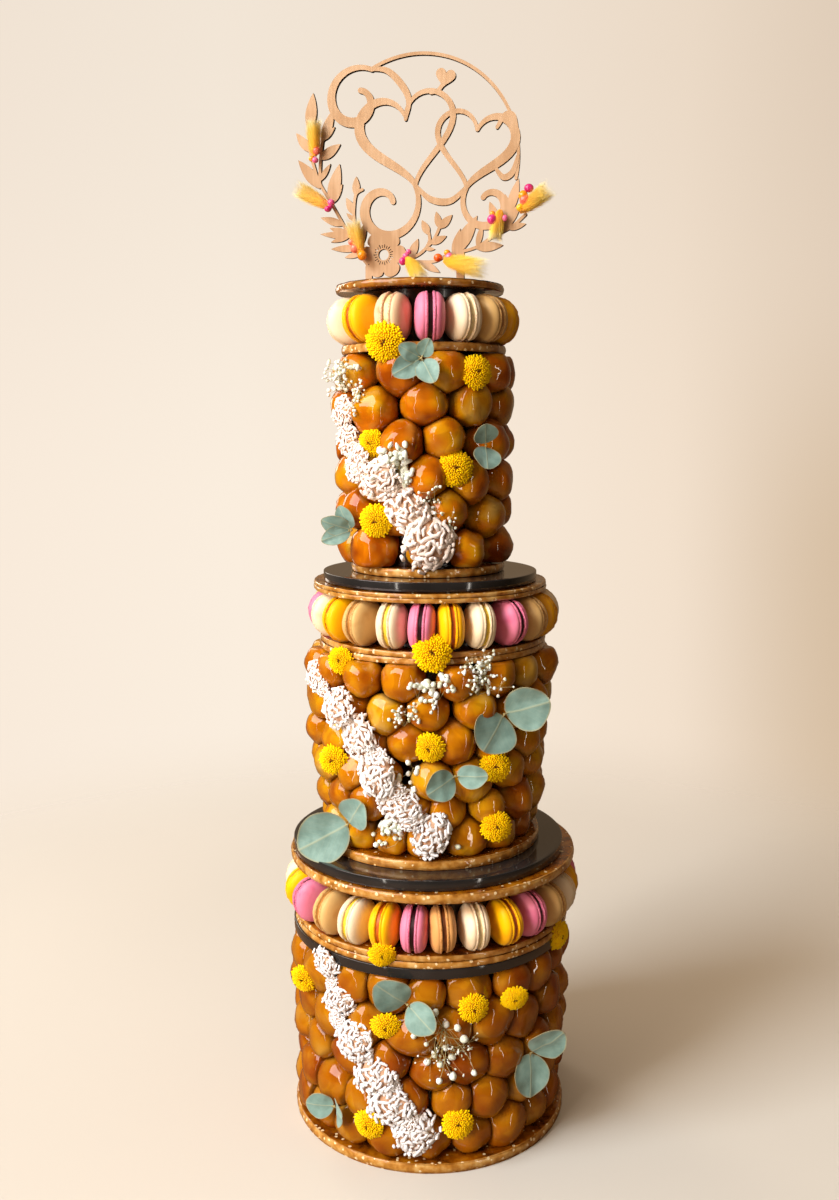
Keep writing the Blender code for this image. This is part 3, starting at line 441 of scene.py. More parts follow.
def plain_speckled(name, speckle_size, dark, light, **uniform):
    """A matt natural surface that wavers between two close shades."""
    made, tree, shader = material(name, **uniform)
    shade = put(tree, "ShaderNodeValToRGB", inputs={"Fac": grain(tree, speckle_size)},
                stops=((0.35, dark), (0.65, light)))
    tree.links.new(shade.outputs["Color"], shader.inputs["Base Color"])
    return made


def hare_tail_fluff():
    """Dyed hare's-tail grass: a soft haze of bristles, orange-yellow at the foot and a dusty
    pale yellow towards the tip."""
    made, tree, shader = material("hare_tail_bristles", Roughness=0.9, Sheen_Weight=0.5,
                                  Sheen_Roughness=0.6, Specular_IOR_Level=0.1)
    along = put(tree, "ShaderNodeAttribute", {"attribute_name": "along"}).outputs["Fac"]
    mixed = put(tree, "ShaderNodeMath", {"operation": "MULTIPLY_ADD"},
                {0: grain(tree, 4 * MM), 1: 0.3, 2: along}).outputs[0]
    shade = put(tree, "ShaderNodeValToRGB", inputs={"Fac": mixed},
                stops=((0.12, "#f59a06"), (0.35, "#ffc21a"), (0.75, "#fbd650"),
                       (1.10, "#efe0b0")))
    tree.links.new(shade.outputs["Color"], shader.inputs["Base Color"])
    return made


def lacquered_berry(name, dark, light):
    """Artificial berry: dyed foam ball under a glossy lacquer."""
    made, tree, shader = material(name, Roughness=0.25, Coat_Weight=0.8, Coat_Roughness=0.06)
    shade = put(tree, "ShaderNodeValToRGB", inputs={"Fac": grain(tree, 4 * MM)},
                stops=((0.35, dark), (0.65, light)))
    tree.links.new(shade.outputs["Color"], shader.inputs["Base Color"])
    return made


# ============================================================================ modelling


def pick(*things):
    """Selects just these objects, the first of them active, in object mode."""
    if bpy.context.object and bpy.context.object.mode != "OBJECT":
        bpy.ops.object.mode_set(mode="OBJECT")
    bpy.ops.object.select_all(action="DESELECT")
    for thing in things:
        thing.select_set(True)
    if things:
        bpy.context.view_layer.objects.active = things[0]


def started(name):
    """The primitive just added, named."""
    made = bpy.context.object
    made.name = made.data.name = name
    return made


def shaping(thing, mode="VERT"):
    """Edit mode on the thing, with nothing selected."""
    pick(thing)
    bpy.ops.object.mode_set(mode="EDIT")
    bpy.ops.mesh.select_mode(type=mode)
    bpy.ops.mesh.select_all(action="DESELECT")
    return bmesh.from_edit_mesh(thing.data)


def choose(bm, thing, wanted, kind="verts"):
    """Selects what wanted says yes to, and nothing else."""
    bpy.ops.mesh.select_all(action="DESELECT")
    for element in getattr(bm, kind):
        if wanted(element):
            element.select = True
    bm.select_flush_mode()
    bmesh.update_edit_mesh(thing.data)


def shaped():
    bpy.ops.object.mode_set(mode="OBJECT")


def modified(thing, kind, **settings):
    """Adds a modifier and applies it."""
    pick(thing)
    modifier = thing.modifiers.new(kind.lower(), kind)
    for key, value in settings.items():
        setattr(modifier, key, value)
    bpy.ops.object.modifier_apply(modifier=modifier.name)


def clouds(name, size, depth=1):
    made = bpy.data.textures.new(name, "CLOUDS")
    made.noise_scale = size
    made.noise_depth = depth
    return made


def settled(thing):
    """Puts the object's place into its mesh and leaves the object at the origin."""
    thing.data.transform(thing.matrix_basis)
    thing.matrix_basis = Matrix.Identity(4)
    return thing


def copied(model, matrix, name="copy"):
    """A copy of the model with its own mesh, placed by the matrix."""
    mesh = model.data.copy()
    mesh.transform(matrix)
    made = bpy.data.objects.new(name, mesh)
    bpy.context.scene.collection.objects.link(made)
    return made


def joined(name, things):
    """The things as one object of that name."""
    pick(*things)
    if len(things) > 1:
        bpy.ops.object.join()
    return started(name)


def removed(*things):
    for thing in things:
        bpy.data.objects.remove(thing, do_unlink=True)


def attribute(thing, name, values):
    """Stores one number for each vertex under that name."""
    mesh = thing.data
    layer = mesh.attributes.get(name) or mesh.attributes.new(name, "FLOAT", "POINT")
    layer.data.foreach_set("value", np.asarray(values, np.float32))


def points_of(thing):
    flat = np.zeros(len(thing.data.vertices) * 3)
    thing.data.vertices.foreach_get("co", flat)
    return flat.reshape(-1, 3)


def set_points(thing, points):
    thing.data.vertices.foreach_set("co", points.ravel())
    thing.data.update()


def outward(azimuth):
    turn = math.radians(azimuth)
    return Vector((math.sin(turn), -math.cos(turn), 0))


def facing(azimuth, height, shift, distance, turned=0.0):
    """The frame of a spot on the wall: X to the right, Y up, Z out of the wall, and turned
    back by so many degrees about the upright."""
    out = outward(azimuth - turned)
    spot = Vector((shift, 0, height)) + outward(azimuth) * distance
    return Matrix.Translation(spot) @ Matrix((UP.cross(out), UP, out)).transposed().to_4x4()


def served(piece, material_slot, *nodes, body="root"):
    """Puts a finished piece on the body it rides on and hides the solids it replaces."""
    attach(piece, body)
    if nodes:
        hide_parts(*nodes)
    return piece


def painted(thing, *materials):
    """Gives the thing these materials and leaves each face its own number among them."""
    numbers = [face.material_index for face in thing.data.polygons]
    thing.data.materials.clear()
    for each in materials:
        thing.data.materials.append(each)
    thing.data.polygons.foreach_set("material_index", numbers)
    return thing


def rounded(thing, angle=180):
    """Smooth shading up to that angle between faces."""
    pick(thing)
    if angle >= 180:
        bpy.ops.object.shade_smooth()
    else:
        bpy.ops.object.shade_smooth_by_angle(angle=math.radians(angle))
    return thing


# ================================================================================= choux


def chou_kind(number):
    """One uneven baked ball of unit radius, its dome towards +Z."""
    bpy.ops.mesh.primitive_cube_add(size=1.2, location=(0, 0, 0))
    ball = started(f"chou_{number}")
    shaping(ball)
    bpy.ops.mesh.select_all(action="SELECT")
    bpy.ops.mesh.subdivide(number_cuts=7)
    bpy.ops.transform.tosphere(value=1.0)
    shaped()
    points = points_of(ball)
    points /= np.linalg.norm(points, axis=1)[:, None]
    for i, p in enumerate(points):
        spot = Vector(p) + Vector((6.2, 3.4, 0)) * (number + 1)
        points[i] = p * (1 + noise.noise(spot * 1.1) * 0.15 + noise.noise(spot * 2.6) * 0.05)
    set_points(ball, points)
    return ball


def soft_stop(depth, limit, rounding):
    """depth where it is well short of the limit, turning softly to the limit beyond it."""
    mix = np.clip(0.5 + 0.5 * (limit - depth) / rounding, 0, 1)
    return limit * (1 - mix) + depth * mix - rounding * mix * (1 - mix) * 0.5


def choux_wall(node, kinds, glaze, core_material):
    """Balls in staggered rows round the tier, each flattened where it meets its neighbours and
    the discs, and a core behind them painted nearly black for the shade in the gaps."""
    rows, in_a_row, foot, head, radius, depth_share, core_radius = TIERS[node]
    low_corner, high_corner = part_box(node)
    low, high = low_corner.z, high_corner.z
    shift = TOP_SHIFT if node.endswith("top") else 0.0
    rng = random.Random(node)
    centres, sizes, outs = [], [], []
    for row in range(rows):
        for k in range(in_a_row):
            azimuth = 360 / in_a_row * (k + 0.5 * (row % 2) + rng.uniform(-0.12, 0.12))
            share = (row + 0.5) / rows
            size = radius * rng.uniform(0.88, 1.10)
            wall = head - (head - foot) * (1 - share) ** WALL_BELLY
            reach = wall + rng.uniform(-3.2, 2.6) * MM - size * depth_share
            height = low + share * (high - low) + rng.uniform(-4.0, 4.0) * MM * (0 < row < rows - 1)
            out = outward(azimuth)
            centres.append(Vector((shift, 0, height)) + out * reach)
            sizes.append(size)
            outs.append(out)
    places, reaches = np.array(centres), np.array(sizes)
    balls = []
    for i, (centre, out) in enumerate(zip(centres, outs)):
        turn = Matrix((UP.cross(out), UP, out)).transposed().to_4x4()
        spin = Matrix.Rotation(rng.uniform(0, math.tau), 4, "Z")
        tip = Matrix.Rotation(rng.uniform(-0.5, 0.5), 4, "X")
        swell = Matrix.Diagonal((rng.uniform(0.97, 1.05), rng.uniform(0.97, 1.05), depth_share, 1))
        ball = copied(rng.choice(kinds), Matrix.Translation(centre) @ turn @ swell @ spin @ tip
                      @ Matrix.Scale(sizes[i], 4))
        points = points_of(ball)
        outwardness = ((points - places[i]) @ np.array(out)) / (sizes[i] * depth_share)
        # how near each point lies to a contact: caramel pooled there, and painted shade
        contact_pool_and_shade = np.zeros(len(points))
        gaps = np.linalg.norm(places - places[i], axis=1)
        for j in np.nonzero((gaps > 0) & (gaps < sizes[i] * 2.5))[0]:
            towards = (places[j] - places[i]) / gaps[j]
            limit = (gaps[j] ** 2 + reaches[i] ** 2 - reaches[j] ** 2) / (2 * gaps[j])
            depth = (points - places[i]) @ towards
            pressed = soft_stop(depth, limit + 0.3 * MM, CONTACT_ROUNDING)
            points += np.outer(np.minimum(pressed - depth, 0), towards)
            contact_pool_and_shade = np.maximum(contact_pool_and_shade, np.clip(1 - (limit - depth) / POOL_AND_SHADE_WIDTH, 0, 1))
        for sign, stop in ((1, high - 0.2 * MM), (-1, -(low + 0.2 * MM))):
            depth = points[:, 2] * sign
            points[:, 2] = np.where(depth > stop - 2 * CONTACT_ROUNDING,
                                    soft_stop(depth, stop, CONTACT_ROUNDING) * sign, points[:, 2])
        set_points(ball, points)
        attribute(ball, "tone", np.full(len(points), 0.05 + 0.65 * rng.random()))
        attribute(ball, "contact_pool_and_shade", contact_pool_and_shade * 0.7)
        attribute(ball, "flank", np.clip(1.0 - outwardness, 0, 1))
        balls.append(ball)
    wall = painted(rounded(joined(node.replace("choux_tier", "choux_wall"), balls)), glaze)
    bpy.ops.mesh.primitive_cylinder_add(vertices=48, radius=core_radius, depth=high - low - MM,
                                        location=(shift, 0, (low + high) / 2))
    core = settled(started(node.replace("choux_tier", "choux_core")))
    bm = shaping(core, "EDGE")
    choose(bm, core, lambda e: abs(e.verts[0].co.z - e.verts[1].co.z) > 0.01, "edges")
    bpy.ops.mesh.subdivide(number_cuts=12)
    shaped()
    modified(core, "DISPLACE", texture=clouds("caramel_drips", 0.012), strength=4 * MM,
             texture_coords="GLOBAL")
    painted(rounded(core, 40), core_material)
    served(core, "caramelised_choux", node)
    return served(wall, "caramelised_choux", node)


# ============================================================================== macarons


def macaron_profile():
    """Radius and height pairs of a half macaron from the middle of its filling to its crown,
    and what each belongs to: 0 filling, 1 foot, 2 shell."""
    r, f = MACARON_RADIUS, FILLING_HEIGHT / 2
    foot_top = f + FOOT_HEIGHT
    profile = [(r * 0.90, 0.0, 0), (r * 0.915, f * 0.55, 0), (r * 0.90, f * 0.98, 0),
               (r * 0.93, f + 0.02 * MM, 1), (r * 0.985, f + 0.35 * MM, 1),
               (r * 1.0, f + 1.1 * MM, 1), (r * 0.985, foot_top - 0.25 * MM, 1),
               (r * 0.955, foot_top, 2)]
    for angle in (0, 14, 28, 43, 58, 73):
        turn = math.radians(angle)
        profile.append((r * (0.30 + 0.67 * math.cos(turn) ** 0.85),
                        foot_top + 0.5 * MM + (SHELL_HEIGHT - 0.9 * MM) * math.sin(turn), 2))
    profile.append((r * 0.22, foot_top + SHELL_HEIGHT - 0.1 * MM, 2))
    return profile


def macaron(number):
    """A whole macaron lying flat: its profile spun round and mirrored, its feet ruffled."""
    profile = macaron_profile()
    bpy.ops.mesh.primitive_circle_add(vertices=54, radius=profile[0][0])
    made = started(f"macaron_{number}")
    shaping(made, "EDGE")
    bpy.ops.mesh.select_all(action="SELECT")
    for (r0, h0, _), (r1, h1, _) in zip(profile, profile[1:]):
        bpy.ops.mesh.extrude_region_move(TRANSFORM_OT_translate={"value": (0, 0, h1 - h0)})
        bpy.ops.transform.resize(value=(r1 / r0, r1 / r0, 1))
    bpy.ops.mesh.edge_face_add()
    bpy.ops.mesh.inset(thickness=profile[-1][0] * 0.5)
    shaped()
    modified(made, "MIRROR", use_axis=(False, False, True), merge_threshold=0.01 * MM)
    points = points_of(made)
    height = np.abs(points[:, 2])
    foot_low, foot_high = FILLING_HEIGHT / 2, FILLING_HEIGHT / 2 + FOOT_HEIGHT
    foot = ((height > foot_low) & (height < foot_high - 0.1 * MM)).astype(float)
    for i in np.nonzero(foot)[0]:
        p = Vector(points[i]) / (2.2 * MM) + Vector((number * 7.3, 0, 0))
        ruffle = noise.noise(p) * 0.75 * MM
        points[i, :2] *= 1 + ruffle / MACARON_RADIUS
    for i in np.nonzero(height < foot_low)[0]:
        p = Vector(points[i]) / (6 * MM) + Vector((0, number * 5.1, 0))
        points[i, :2] *= 1 + noise.noise(p) * 0.03
    for i in range(len(points)):
        p = Vector(points[i]) / (16 * MM) + Vector((0, 0, number * 3.7))
        points[i] *= 1 + noise.noise(p) * 0.035
    set_points(made, points)
    attribute(made, "foot", foot)
    for face in made.data.polygons:
        face.material_index = 1 if abs(face.center.z) < foot_low else 0
    return rounded(made)


def macaron_ring(node, models, flavours):
    """Macarons on edge side by side like wheels, over a plain core."""
    thickness, azimuths, front, behind = RINGS[node]
    low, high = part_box(node)
    shift = (low.x + high.x) / 2
    middle = (high.y - low.y) / 2 - MACARON_RADIUS * 0.97
    rng = random.Random(node)
    rest = behind.split()
    gap = (360 - azimuths[-1] + azimuths[0]) / (len(rest) + 1)
    places = [*azimuths, *(azimuths[-1] + gap * (i + 1) for i in range(len(rest)))]
    slim = thickness / (FILLING_HEIGHT + 2 * (FOOT_HEIGHT + SHELL_HEIGHT))
    by_flavour = {}
    for azimuth, flavour in zip(places, front.split() + rest):
        spot = facing(azimuth + rng.uniform(-0.5, 0.5), low.z + MACARON_RADIUS * 0.985, shift,
                      middle + rng.uniform(-0.6, 0.6) * MM)
        wheel = Matrix.Rotation(math.pi / 2 + math.radians(rng.uniform(-2, 2)), 4, "Y")
        lean = Matrix.Rotation(math.radians(rng.uniform(-3, 3)), 4, "X")
        form = Matrix.Diagonal((1, 1, slim * rng.uniform(0.98, 1.02), 1))
        spin = Matrix.Rotation(rng.uniform(0, math.tau), 4, "Z")
        made = copied(rng.choice(models), spot @ wheel @ lean @ form @ spin
                      @ Matrix.Scale(rng.uniform(0.98, 1.0), 4))
        by_flavour.setdefault(flavour, []).append(painted(made, *flavours[flavour]))
    for flavour, wheels in by_flavour.items():
        name = f"{node.replace('macaron_ring', 'macarons')}_{flavour}"
        served(joined(name, wheels), "macaron_shell", node)
    # the core behind the macarons wears the same nearly black painted shade
    bpy.ops.mesh.primitive_cylinder_add(vertices=64, radius=middle - MACARON_RADIUS * 0.55,
                                        depth=high.z - low.z - 0.4 * MM,
                                        location=(shift, 0, (low.z + high.z) / 2))
    core = settled(started(node + "_core"))
    bm = shaping(core, "EDGE")
    choose(bm, core, lambda e: abs(e.verts[0].co.z - e.verts[1].co.z) > 0.01, "edges")
    bpy.ops.mesh.subdivide(number_cuts=6)
    shaped()
    modified(core, "DISPLACE", texture=clouds("core_unevenness", 0.010), strength=1.2 * MM,
             texture_coords="GLOBAL")
    return served(painted(rounded(core, 40), bpy.data.materials["gap_shade_caramel"]),
                  "nougatine", node)


# ======================================================================= discs and plates


def nougatine_disc(node, brittle, round_edge=False):
    """A disc cut by hand from hot nougatine: a blunt uneven edge with chips out of it, and a
    gently wavy top."""
    low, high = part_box(node)
    shift = (low.x + high.x) / 2
    radius = (high.y - low.y) / 2
    depth = high.z - low.z
    rng = random.Random(node)
    bpy.ops.mesh.primitive_cylinder_add(vertices=220, radius=radius, depth=depth,
                                        end_fill_type="NGON",
                                        location=(shift, 0, (low.z + high.z) / 2))
    disc = settled(started(node.replace("nougatine", "nougatine_disc")))
    bm = shaping(disc, "EDGE")
    choose(bm, disc, lambda e: abs(e.verts[0].co.z - e.verts[1].co.z) > depth / 2, "edges")
    bpy.ops.mesh.subdivide(number_cuts=5)
    bm = shaping(disc, "FACE")
    for side in (1, -1):
        choose(bm, disc, lambda f: f.normal.z * side > 0.9, "faces")
        for width in (0.8 * MM, 2.5 * MM, 8 * MM, 20 * MM):
            bpy.ops.mesh.inset(thickness=width)
    shaped()
    points = points_of(disc)
    flat = points - np.array((shift, 0, 0))
    reach = np.hypot(flat[:, 0], flat[:, 1])
    seed = Vector((rng.uniform(0, 99), rng.uniform(0, 99), 0))
    bluntness = depth * (0.34 if round_edge else 0.20)
    chips = [(rng.uniform(0, math.tau), rng.uniform(1.2, 3.0) * MM, rng.choice((-1, 1)))
             for _ in range(0 if round_edge else 34)]
    edge = np.zeros(len(points))
    for i, (x, y, z) in enumerate(flat):
        tall = 2 * (z - low.z) / depth - 1
        angle = math.atan2(y, x)
        around = Vector((math.cos(angle), math.sin(angle), 0)) * radius + seed
        if reach[i] > radius - 0.4 * MM:
            edge[i] = 0.45 if round_edge else 1.0
            blunt = -bluntness * abs(tall) ** 3
            rough = noise.noise(around / (6 * MM) + Vector((0, 0, tall * 1.5))) * 0.45 * MM
            slow = noise.noise(around / (28 * MM)) * 0.6 * MM
            chip = 0.0
            for place, width, side in chips:
                away = abs((angle - place + math.pi) % math.tau - math.pi) * radius
                if away < width and tall * side > -0.2:
                    chip = -0.8 * MM * (1 - away / width) ** 0.5 * min(1, tall * side + 0.5)
            points[i, :2] += flat[i, :2] / reach[i] * (blunt + rough + slow + chip)
        elif abs(tall) > 0.9 and reach[i] > radius * 0.5:
            wave = noise.noise(around * (reach[i] / radius) / (10 * MM))
            edge[i] = 0.7 if reach[i] > radius - 1.2 * MM and not round_edge else 0.0
            points[i, 2] -= (0.25 + 0.35 * wave) * MM * tall
    set_points(disc, points)
    attribute(disc, "edge", edge)
    painted(rounded(disc, 60), brittle)
    return served(disc, "nougatine", node)


def acrylic_plate(node, acrylic):
    low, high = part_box(node)
    bpy.ops.mesh.primitive_cylinder_add(vertices=200, radius=(high.x - low.x) / 2,
                                        depth=high.z - low.z, end_fill_type="NGON",
                                        location=(low + high) / 2)
    plate = settled(started(node.replace("acrylic_plate", "smoked_plate")))
    bm = shaping(plate, "EDGE")
    choose(bm, plate, lambda e: abs(e.verts[0].co.z - e.verts[1].co.z) < MM, "edges")
    bpy.ops.mesh.bevel(offset=0.7 * MM, segments=3, affect="EDGES")
    bm = shaping(plate, "FACE")
    for side in (1, -1):
        choose(bm, plate, lambda f: f.normal.z * side > 0.99, "faces")
        bpy.ops.mesh.inset(thickness=3 * MM)
    shaped()
    painted(rounded(plate, 35), acrylic)
    return served(plate, "acrylic", node)


# ========================================================================== the trimmings


class Wall:
    """What the trimmings are set on: the choux, discs and macarons already made."""

    def __init__(self, pieces):
        self.trees = []
        for piece in pieces:
            corners = [v.co.copy() for v in piece.data.vertices]
            faces = [tuple(p.vertices) for p in piece.data.polygons]
            self.trees.append(BVHTree.FromPolygons(corners, faces))

    def distance(self, azimuth, height, shift, spread=0.0):
        """How far from the axis the wall stands out within that spread round the spot."""
        out = outward(azimuth)
        right = UP.cross(out)
        best = 0.0
        steps = [(0, 0)] + [(math.cos(a), math.sin(a)) for a in
                            (math.tau * k / 8 for k in range(8))]
        for across, rise in steps:
            offset = right * across * spread + UP * rise * spread
            origin = Vector((shift, 0, height)) + out * 0.30 + offset
            for tree in self.trees:
                hit = tree.ray_cast(origin, -out)[3]
                if hit:
                    best = max(best, 0.30 - hit)
        return best


def floret(length, width, sides=5):
    """A short tube-like floret standing on the origin, rounded at its end."""
    bpy.ops.mesh.primitive_cone_add(vertices=sides, radius1=width * 0.36, radius2=width * 0.5,
                                    depth=length * 0.86, location=(0, 0, length * 0.43))
    made = settled(started("floret"))
    bm = shaping(made, "FACE")
    choose(bm, made, lambda f: f.normal.z > 0.9, "faces")
    bpy.ops.mesh.extrude_region_move(TRANSFORM_OT_translate={"value": (0, 0, length * 0.14)})
    bpy.ops.transform.resize(value=(0.55, 0.55, 1))
    shaped()
    return rounded(made)


def yellow_head(number, radius=0.0150, petals=235):
    """A button-shaped head: blunt petals lying outward over each other like shingles, from a
    small dark eye to a ragged rim."""
    rng = random.Random(number)
    model = floret(1.0, 1.0)
    florets = []
    for i in range(petals):
        turn = i * GOLDEN_ANGLE
        share = (i + 0.5) / petals
        reach = radius * (0.07 + 0.93 * share ** 0.52) * rng.uniform(0.96, 1.04)
        lean = math.radians(38 + 58 * share ** 0.8)
        way = Vector((math.sin(lean) * math.cos(turn), math.sin(lean) * math.sin(turn),
                      math.cos(lean)))
        rise = radius * (0.56 - 0.44 * share ** 1.15)
        tip = Vector((reach * math.cos(turn), reach * math.sin(turn), rise))
        length = radius * (0.16 + 0.26 * share)
        width, thick = radius * (0.095 + 0.055 * share), radius * 0.090
        side = UP.cross(way).normalized()
        aim = Matrix((side, way.cross(side), way)).transposed().to_4x4()
        jitter = Matrix.Rotation(rng.uniform(-0.12, 0.12), 4, "X") \
            @ Matrix.Rotation(rng.uniform(-0.12, 0.12), 4, "Y")
        made = copied(model, Matrix.Translation(tip - way * length) @ aim @ jitter
                      @ Matrix.Diagonal((width, thick, length, 1)))
        points = points_of(made)
        along = np.clip(((points - np.array(tip)) @ np.array(way)) / length + 1, 0, 1)
        # each petal darker towards its foot, painted shade down between the florets; the first two
        # make the dark eye
        dark = 0.8 if i < 2 else rng.uniform(0, 0.14)
        attribute(made, "heart", np.clip(dark + 0.36 * (1 - along), 0, 1))
        florets.append(made)
    bpy.ops.mesh.primitive_uv_sphere_add(segments=16, ring_count=10, radius=radius * 0.72,
                                         location=(0, 0, 0))
    cushion = settled(started("cushion"))
    cushion.data.transform(Matrix.Translation((0, 0, radius * 0.12)) @ Matrix.Scale(0.44, 4, UP))
    # the cushion under the petals is painted deep yellow for the shade within the head
    attribute(cushion, "heart", np.full(len(cushion.data.vertices), 0.62))
    removed(model)
    return joined(f"yellow_head_{number}", florets + [rounded(cushion)])


def yellow_flowers(name, heads, places, wall, petal, *nodes):
    rng = random.Random(name)
    made = []
    for shift, azimuth, turned, height, radius in places:
        distance = wall.distance(azimuth, height, shift, radius * 0.55) - 1.2 * MM
        tilt = Matrix.Rotation(math.radians(rng.uniform(-12, 12)), 4, "X") \
            @ Matrix.Rotation(math.radians(rng.uniform(-12, 12)), 4, "Y")
        spin = Matrix.Rotation(rng.uniform(0, math.tau), 4, "Z")
        size = Matrix.Scale(radius * 1.06 / 0.0150, 4)
        made.append(copied(rng.choice(heads), facing(azimuth, height, shift, distance, turned)
                           @ tilt @ spin @ size))
    return served(painted(joined(name, made), petal), "dried_flower", *nodes)


def leaf_model(number):
    """A round leaf of unit length and width from the origin along +X, cupped and waved, with
    its own UV map: U along the leaf, V across it."""
    rng = random.Random(number)
    bpy.ops.mesh.primitive_grid_add(x_subdivisions=12, y_subdivisions=10, size=2)
    leaf = started(f"leaf_{number}")
    shaping(leaf)
    shaped()
    points = points_of(leaf)
    x, y = points[:, 0].copy(), points[:, 1].copy()
    disc_x, disc_y = x * np.sqrt(1 - y * y / 2), y * np.sqrt(1 - x * x / 2)
    margin = np.hypot(disc_x, disc_y)
    tip = 1 + 0.10 * np.clip(disc_x, 0, 1) ** 4
    points[:, 0] = 0.5 + 0.5 * disc_x * tip
    points[:, 1] = 0.5 * disc_y * (1 - 0.10 * np.clip(disc_x, 0, 1) ** 2)
    waver = [noise.noise(Vector((a * 1.7 + number * 9, b * 1.7, 0))) for a, b in zip(disc_x, disc_y)]
    points[:, 2] = 0.10 * disc_y ** 2 - 0.06 * (disc_x - 0.2) ** 2 + 0.05 * np.array(waver)
    points[:, 2] += 0.02 * np.exp(-(disc_y / 0.06) ** 2)
    set_points(leaf, points)
    attribute(leaf, "margin", margin)
    layer = leaf.data.uv_layers.new(name="leaf") if not leaf.data.uv_layers else leaf.data.uv_layers[0]
    layer.name = "leaf"
    for loop in leaf.data.loops:
        place = points[loop.vertex_index]
        layer.data[loop.index].uv = (place[0], place[1])
    leaf.data.transform(Matrix.Rotation(math.radians(rng.uniform(-4, 4)), 4, "Z"))
    return leaf


def eucalyptus(name, models, sprigs, wall, leaf_material, twig, *nodes):
    """The sprigs as a piece of leaves, each leaf a thin shell, and a piece of twigs."""
    rng = random.Random(name)
    leaves, twigs = [], []
    for shift, azimuth, turned, height, blades in sprigs:
        distance = wall.distance(azimuth, height, shift, 0.010)
        for direction, length, width, tilt in blades:
            way = math.radians(direction)
            aside = math.degrees(math.cos(way) * length * 0.55 / distance)
            below = wall.distance(azimuth + aside, height + math.sin(way) * length * 0.55, shift,
                                  width * 0.38)
            distance = max(distance, below - math.sin(math.radians(tilt)) * length * 0.45)
        distance += 1.5 * MM
        spot = facing(azimuth, height, shift, distance, turned)
        for direction, length, width, tilt in blades:
            aim = spot @ Matrix.Rotation(math.radians(direction), 4, "Z") \
                @ Matrix.Rotation(math.radians(-tilt), 4, "Y")
            blade = copied(rng.choice(models), aim @ Matrix.Translation((1.2 * MM, 0, 0))
                           @ Matrix.Diagonal((length * 0.96, width, length * 0.8, 1)))
            leaves.append(blade)
            bpy.ops.mesh.primitive_cone_add(vertices=6, radius1=0.55 * MM, radius2=0.35 * MM,
                                            depth=3.4 * MM, location=(1.5 * MM, 0, 0),
                                            rotation=(0, math.pi / 2, 0))
            stalk = started("stalk")
            settled(stalk)
            stalk.data.transform(aim)
            twigs.append(stalk)
        bpy.ops.mesh.primitive_uv_sphere_add(segments=8, ring_count=6, radius=1.25 * MM)
        knot = started("knot")
        knot.data.transform(spot)
        twigs.append(knot)
    made = painted(joined(name, leaves), leaf_material)
    modified(made, "SOLIDIFY", thickness=0.45 * MM, offset=0)
    served(rounded(made, 60), "eucalyptus_leaf", *nodes)
    stalks = painted(rounded(joined(name + "_twigs", twigs)), twig)
    served(stalks, "eucalyptus_leaf")


def blossom_tube(number, bend, stretch=2.0):
    """A short blossom tube, round-ended and bent, lying along X over the origin; its own
    radius is 1."""
    bpy.ops.mesh.primitive_uv_sphere_add(segments=6, ring_count=6, radius=1,
                                         rotation=(0, math.pi / 2, 0))
    tube = settled(started(f"tube_{number}"))
    points = points_of(tube)
    points[:, 0] += np.sign(np.round(points[:, 0], 4)) * stretch
    if bend:
        angle = points[:, 0] * bend / stretch
        circle = stretch / bend
        points = np.column_stack((np.sin(angle) * (circle - points[:, 1]),
                                  circle - np.cos(angle) * (circle - points[:, 1]), points[:, 2]))
    set_points(tube, points)
    return rounded(tube)


def coral_cluster(number, tubes, count=88):
    """A domed cluster 1 across of wriggling tubes lying side by side and across each other,
    over a pad."""
    rng = random.Random(number)
    made = []
    for i in range(count):
        share = (i + 0.5) / count
        lean = math.radians(93) * share ** 0.55
        turn = i * GOLDEN_ANGLE + rng.uniform(-0.2, 0.2)
        axis = Vector((math.sin(lean) * math.cos(turn), math.sin(lean) * math.sin(turn),
                       math.cos(lean) * 0.72))
        knob = 1 + 0.24 * noise.noise(axis * 2.4 + Vector((number * 9, 0, 0)))
        place = axis * 0.44 * knob * rng.uniform(0.96, 1.06)
        aim = axis.to_track_quat("Z", "Y").to_matrix().to_4x4()
        swirl = noise.noise(axis * 1.6 + Vector((0, number * 7, 0))) * 5
        spin = Matrix.Rotation(swirl + rng.choice((0, 0, math.pi / 2)) + rng.uniform(-0.4, 0.4),
                               4, "Z")
        stand = Matrix.Rotation(rng.choice((0.0, 0.1, 0.1, 0.2, 0.5)) * rng.choice((-1, 1)), 4, "Y")
        made.append(copied(rng.choice(tubes), Matrix.Translation(place) @ aim @ spin @ stand
                           @ Matrix.Scale(rng.uniform(0.035, 0.042), 4)))
    return joined(f"coral_{number}", made)


# a domed pad under each cluster, painted for the shade between its tubes
def coral_pad():
    bpy.ops.mesh.primitive_uv_sphere_add(segments=16, ring_count=10, radius=0.385)
    pad = started("coral_pad")
    pad.scale.z = 0.72
    return rounded(settled(pad))


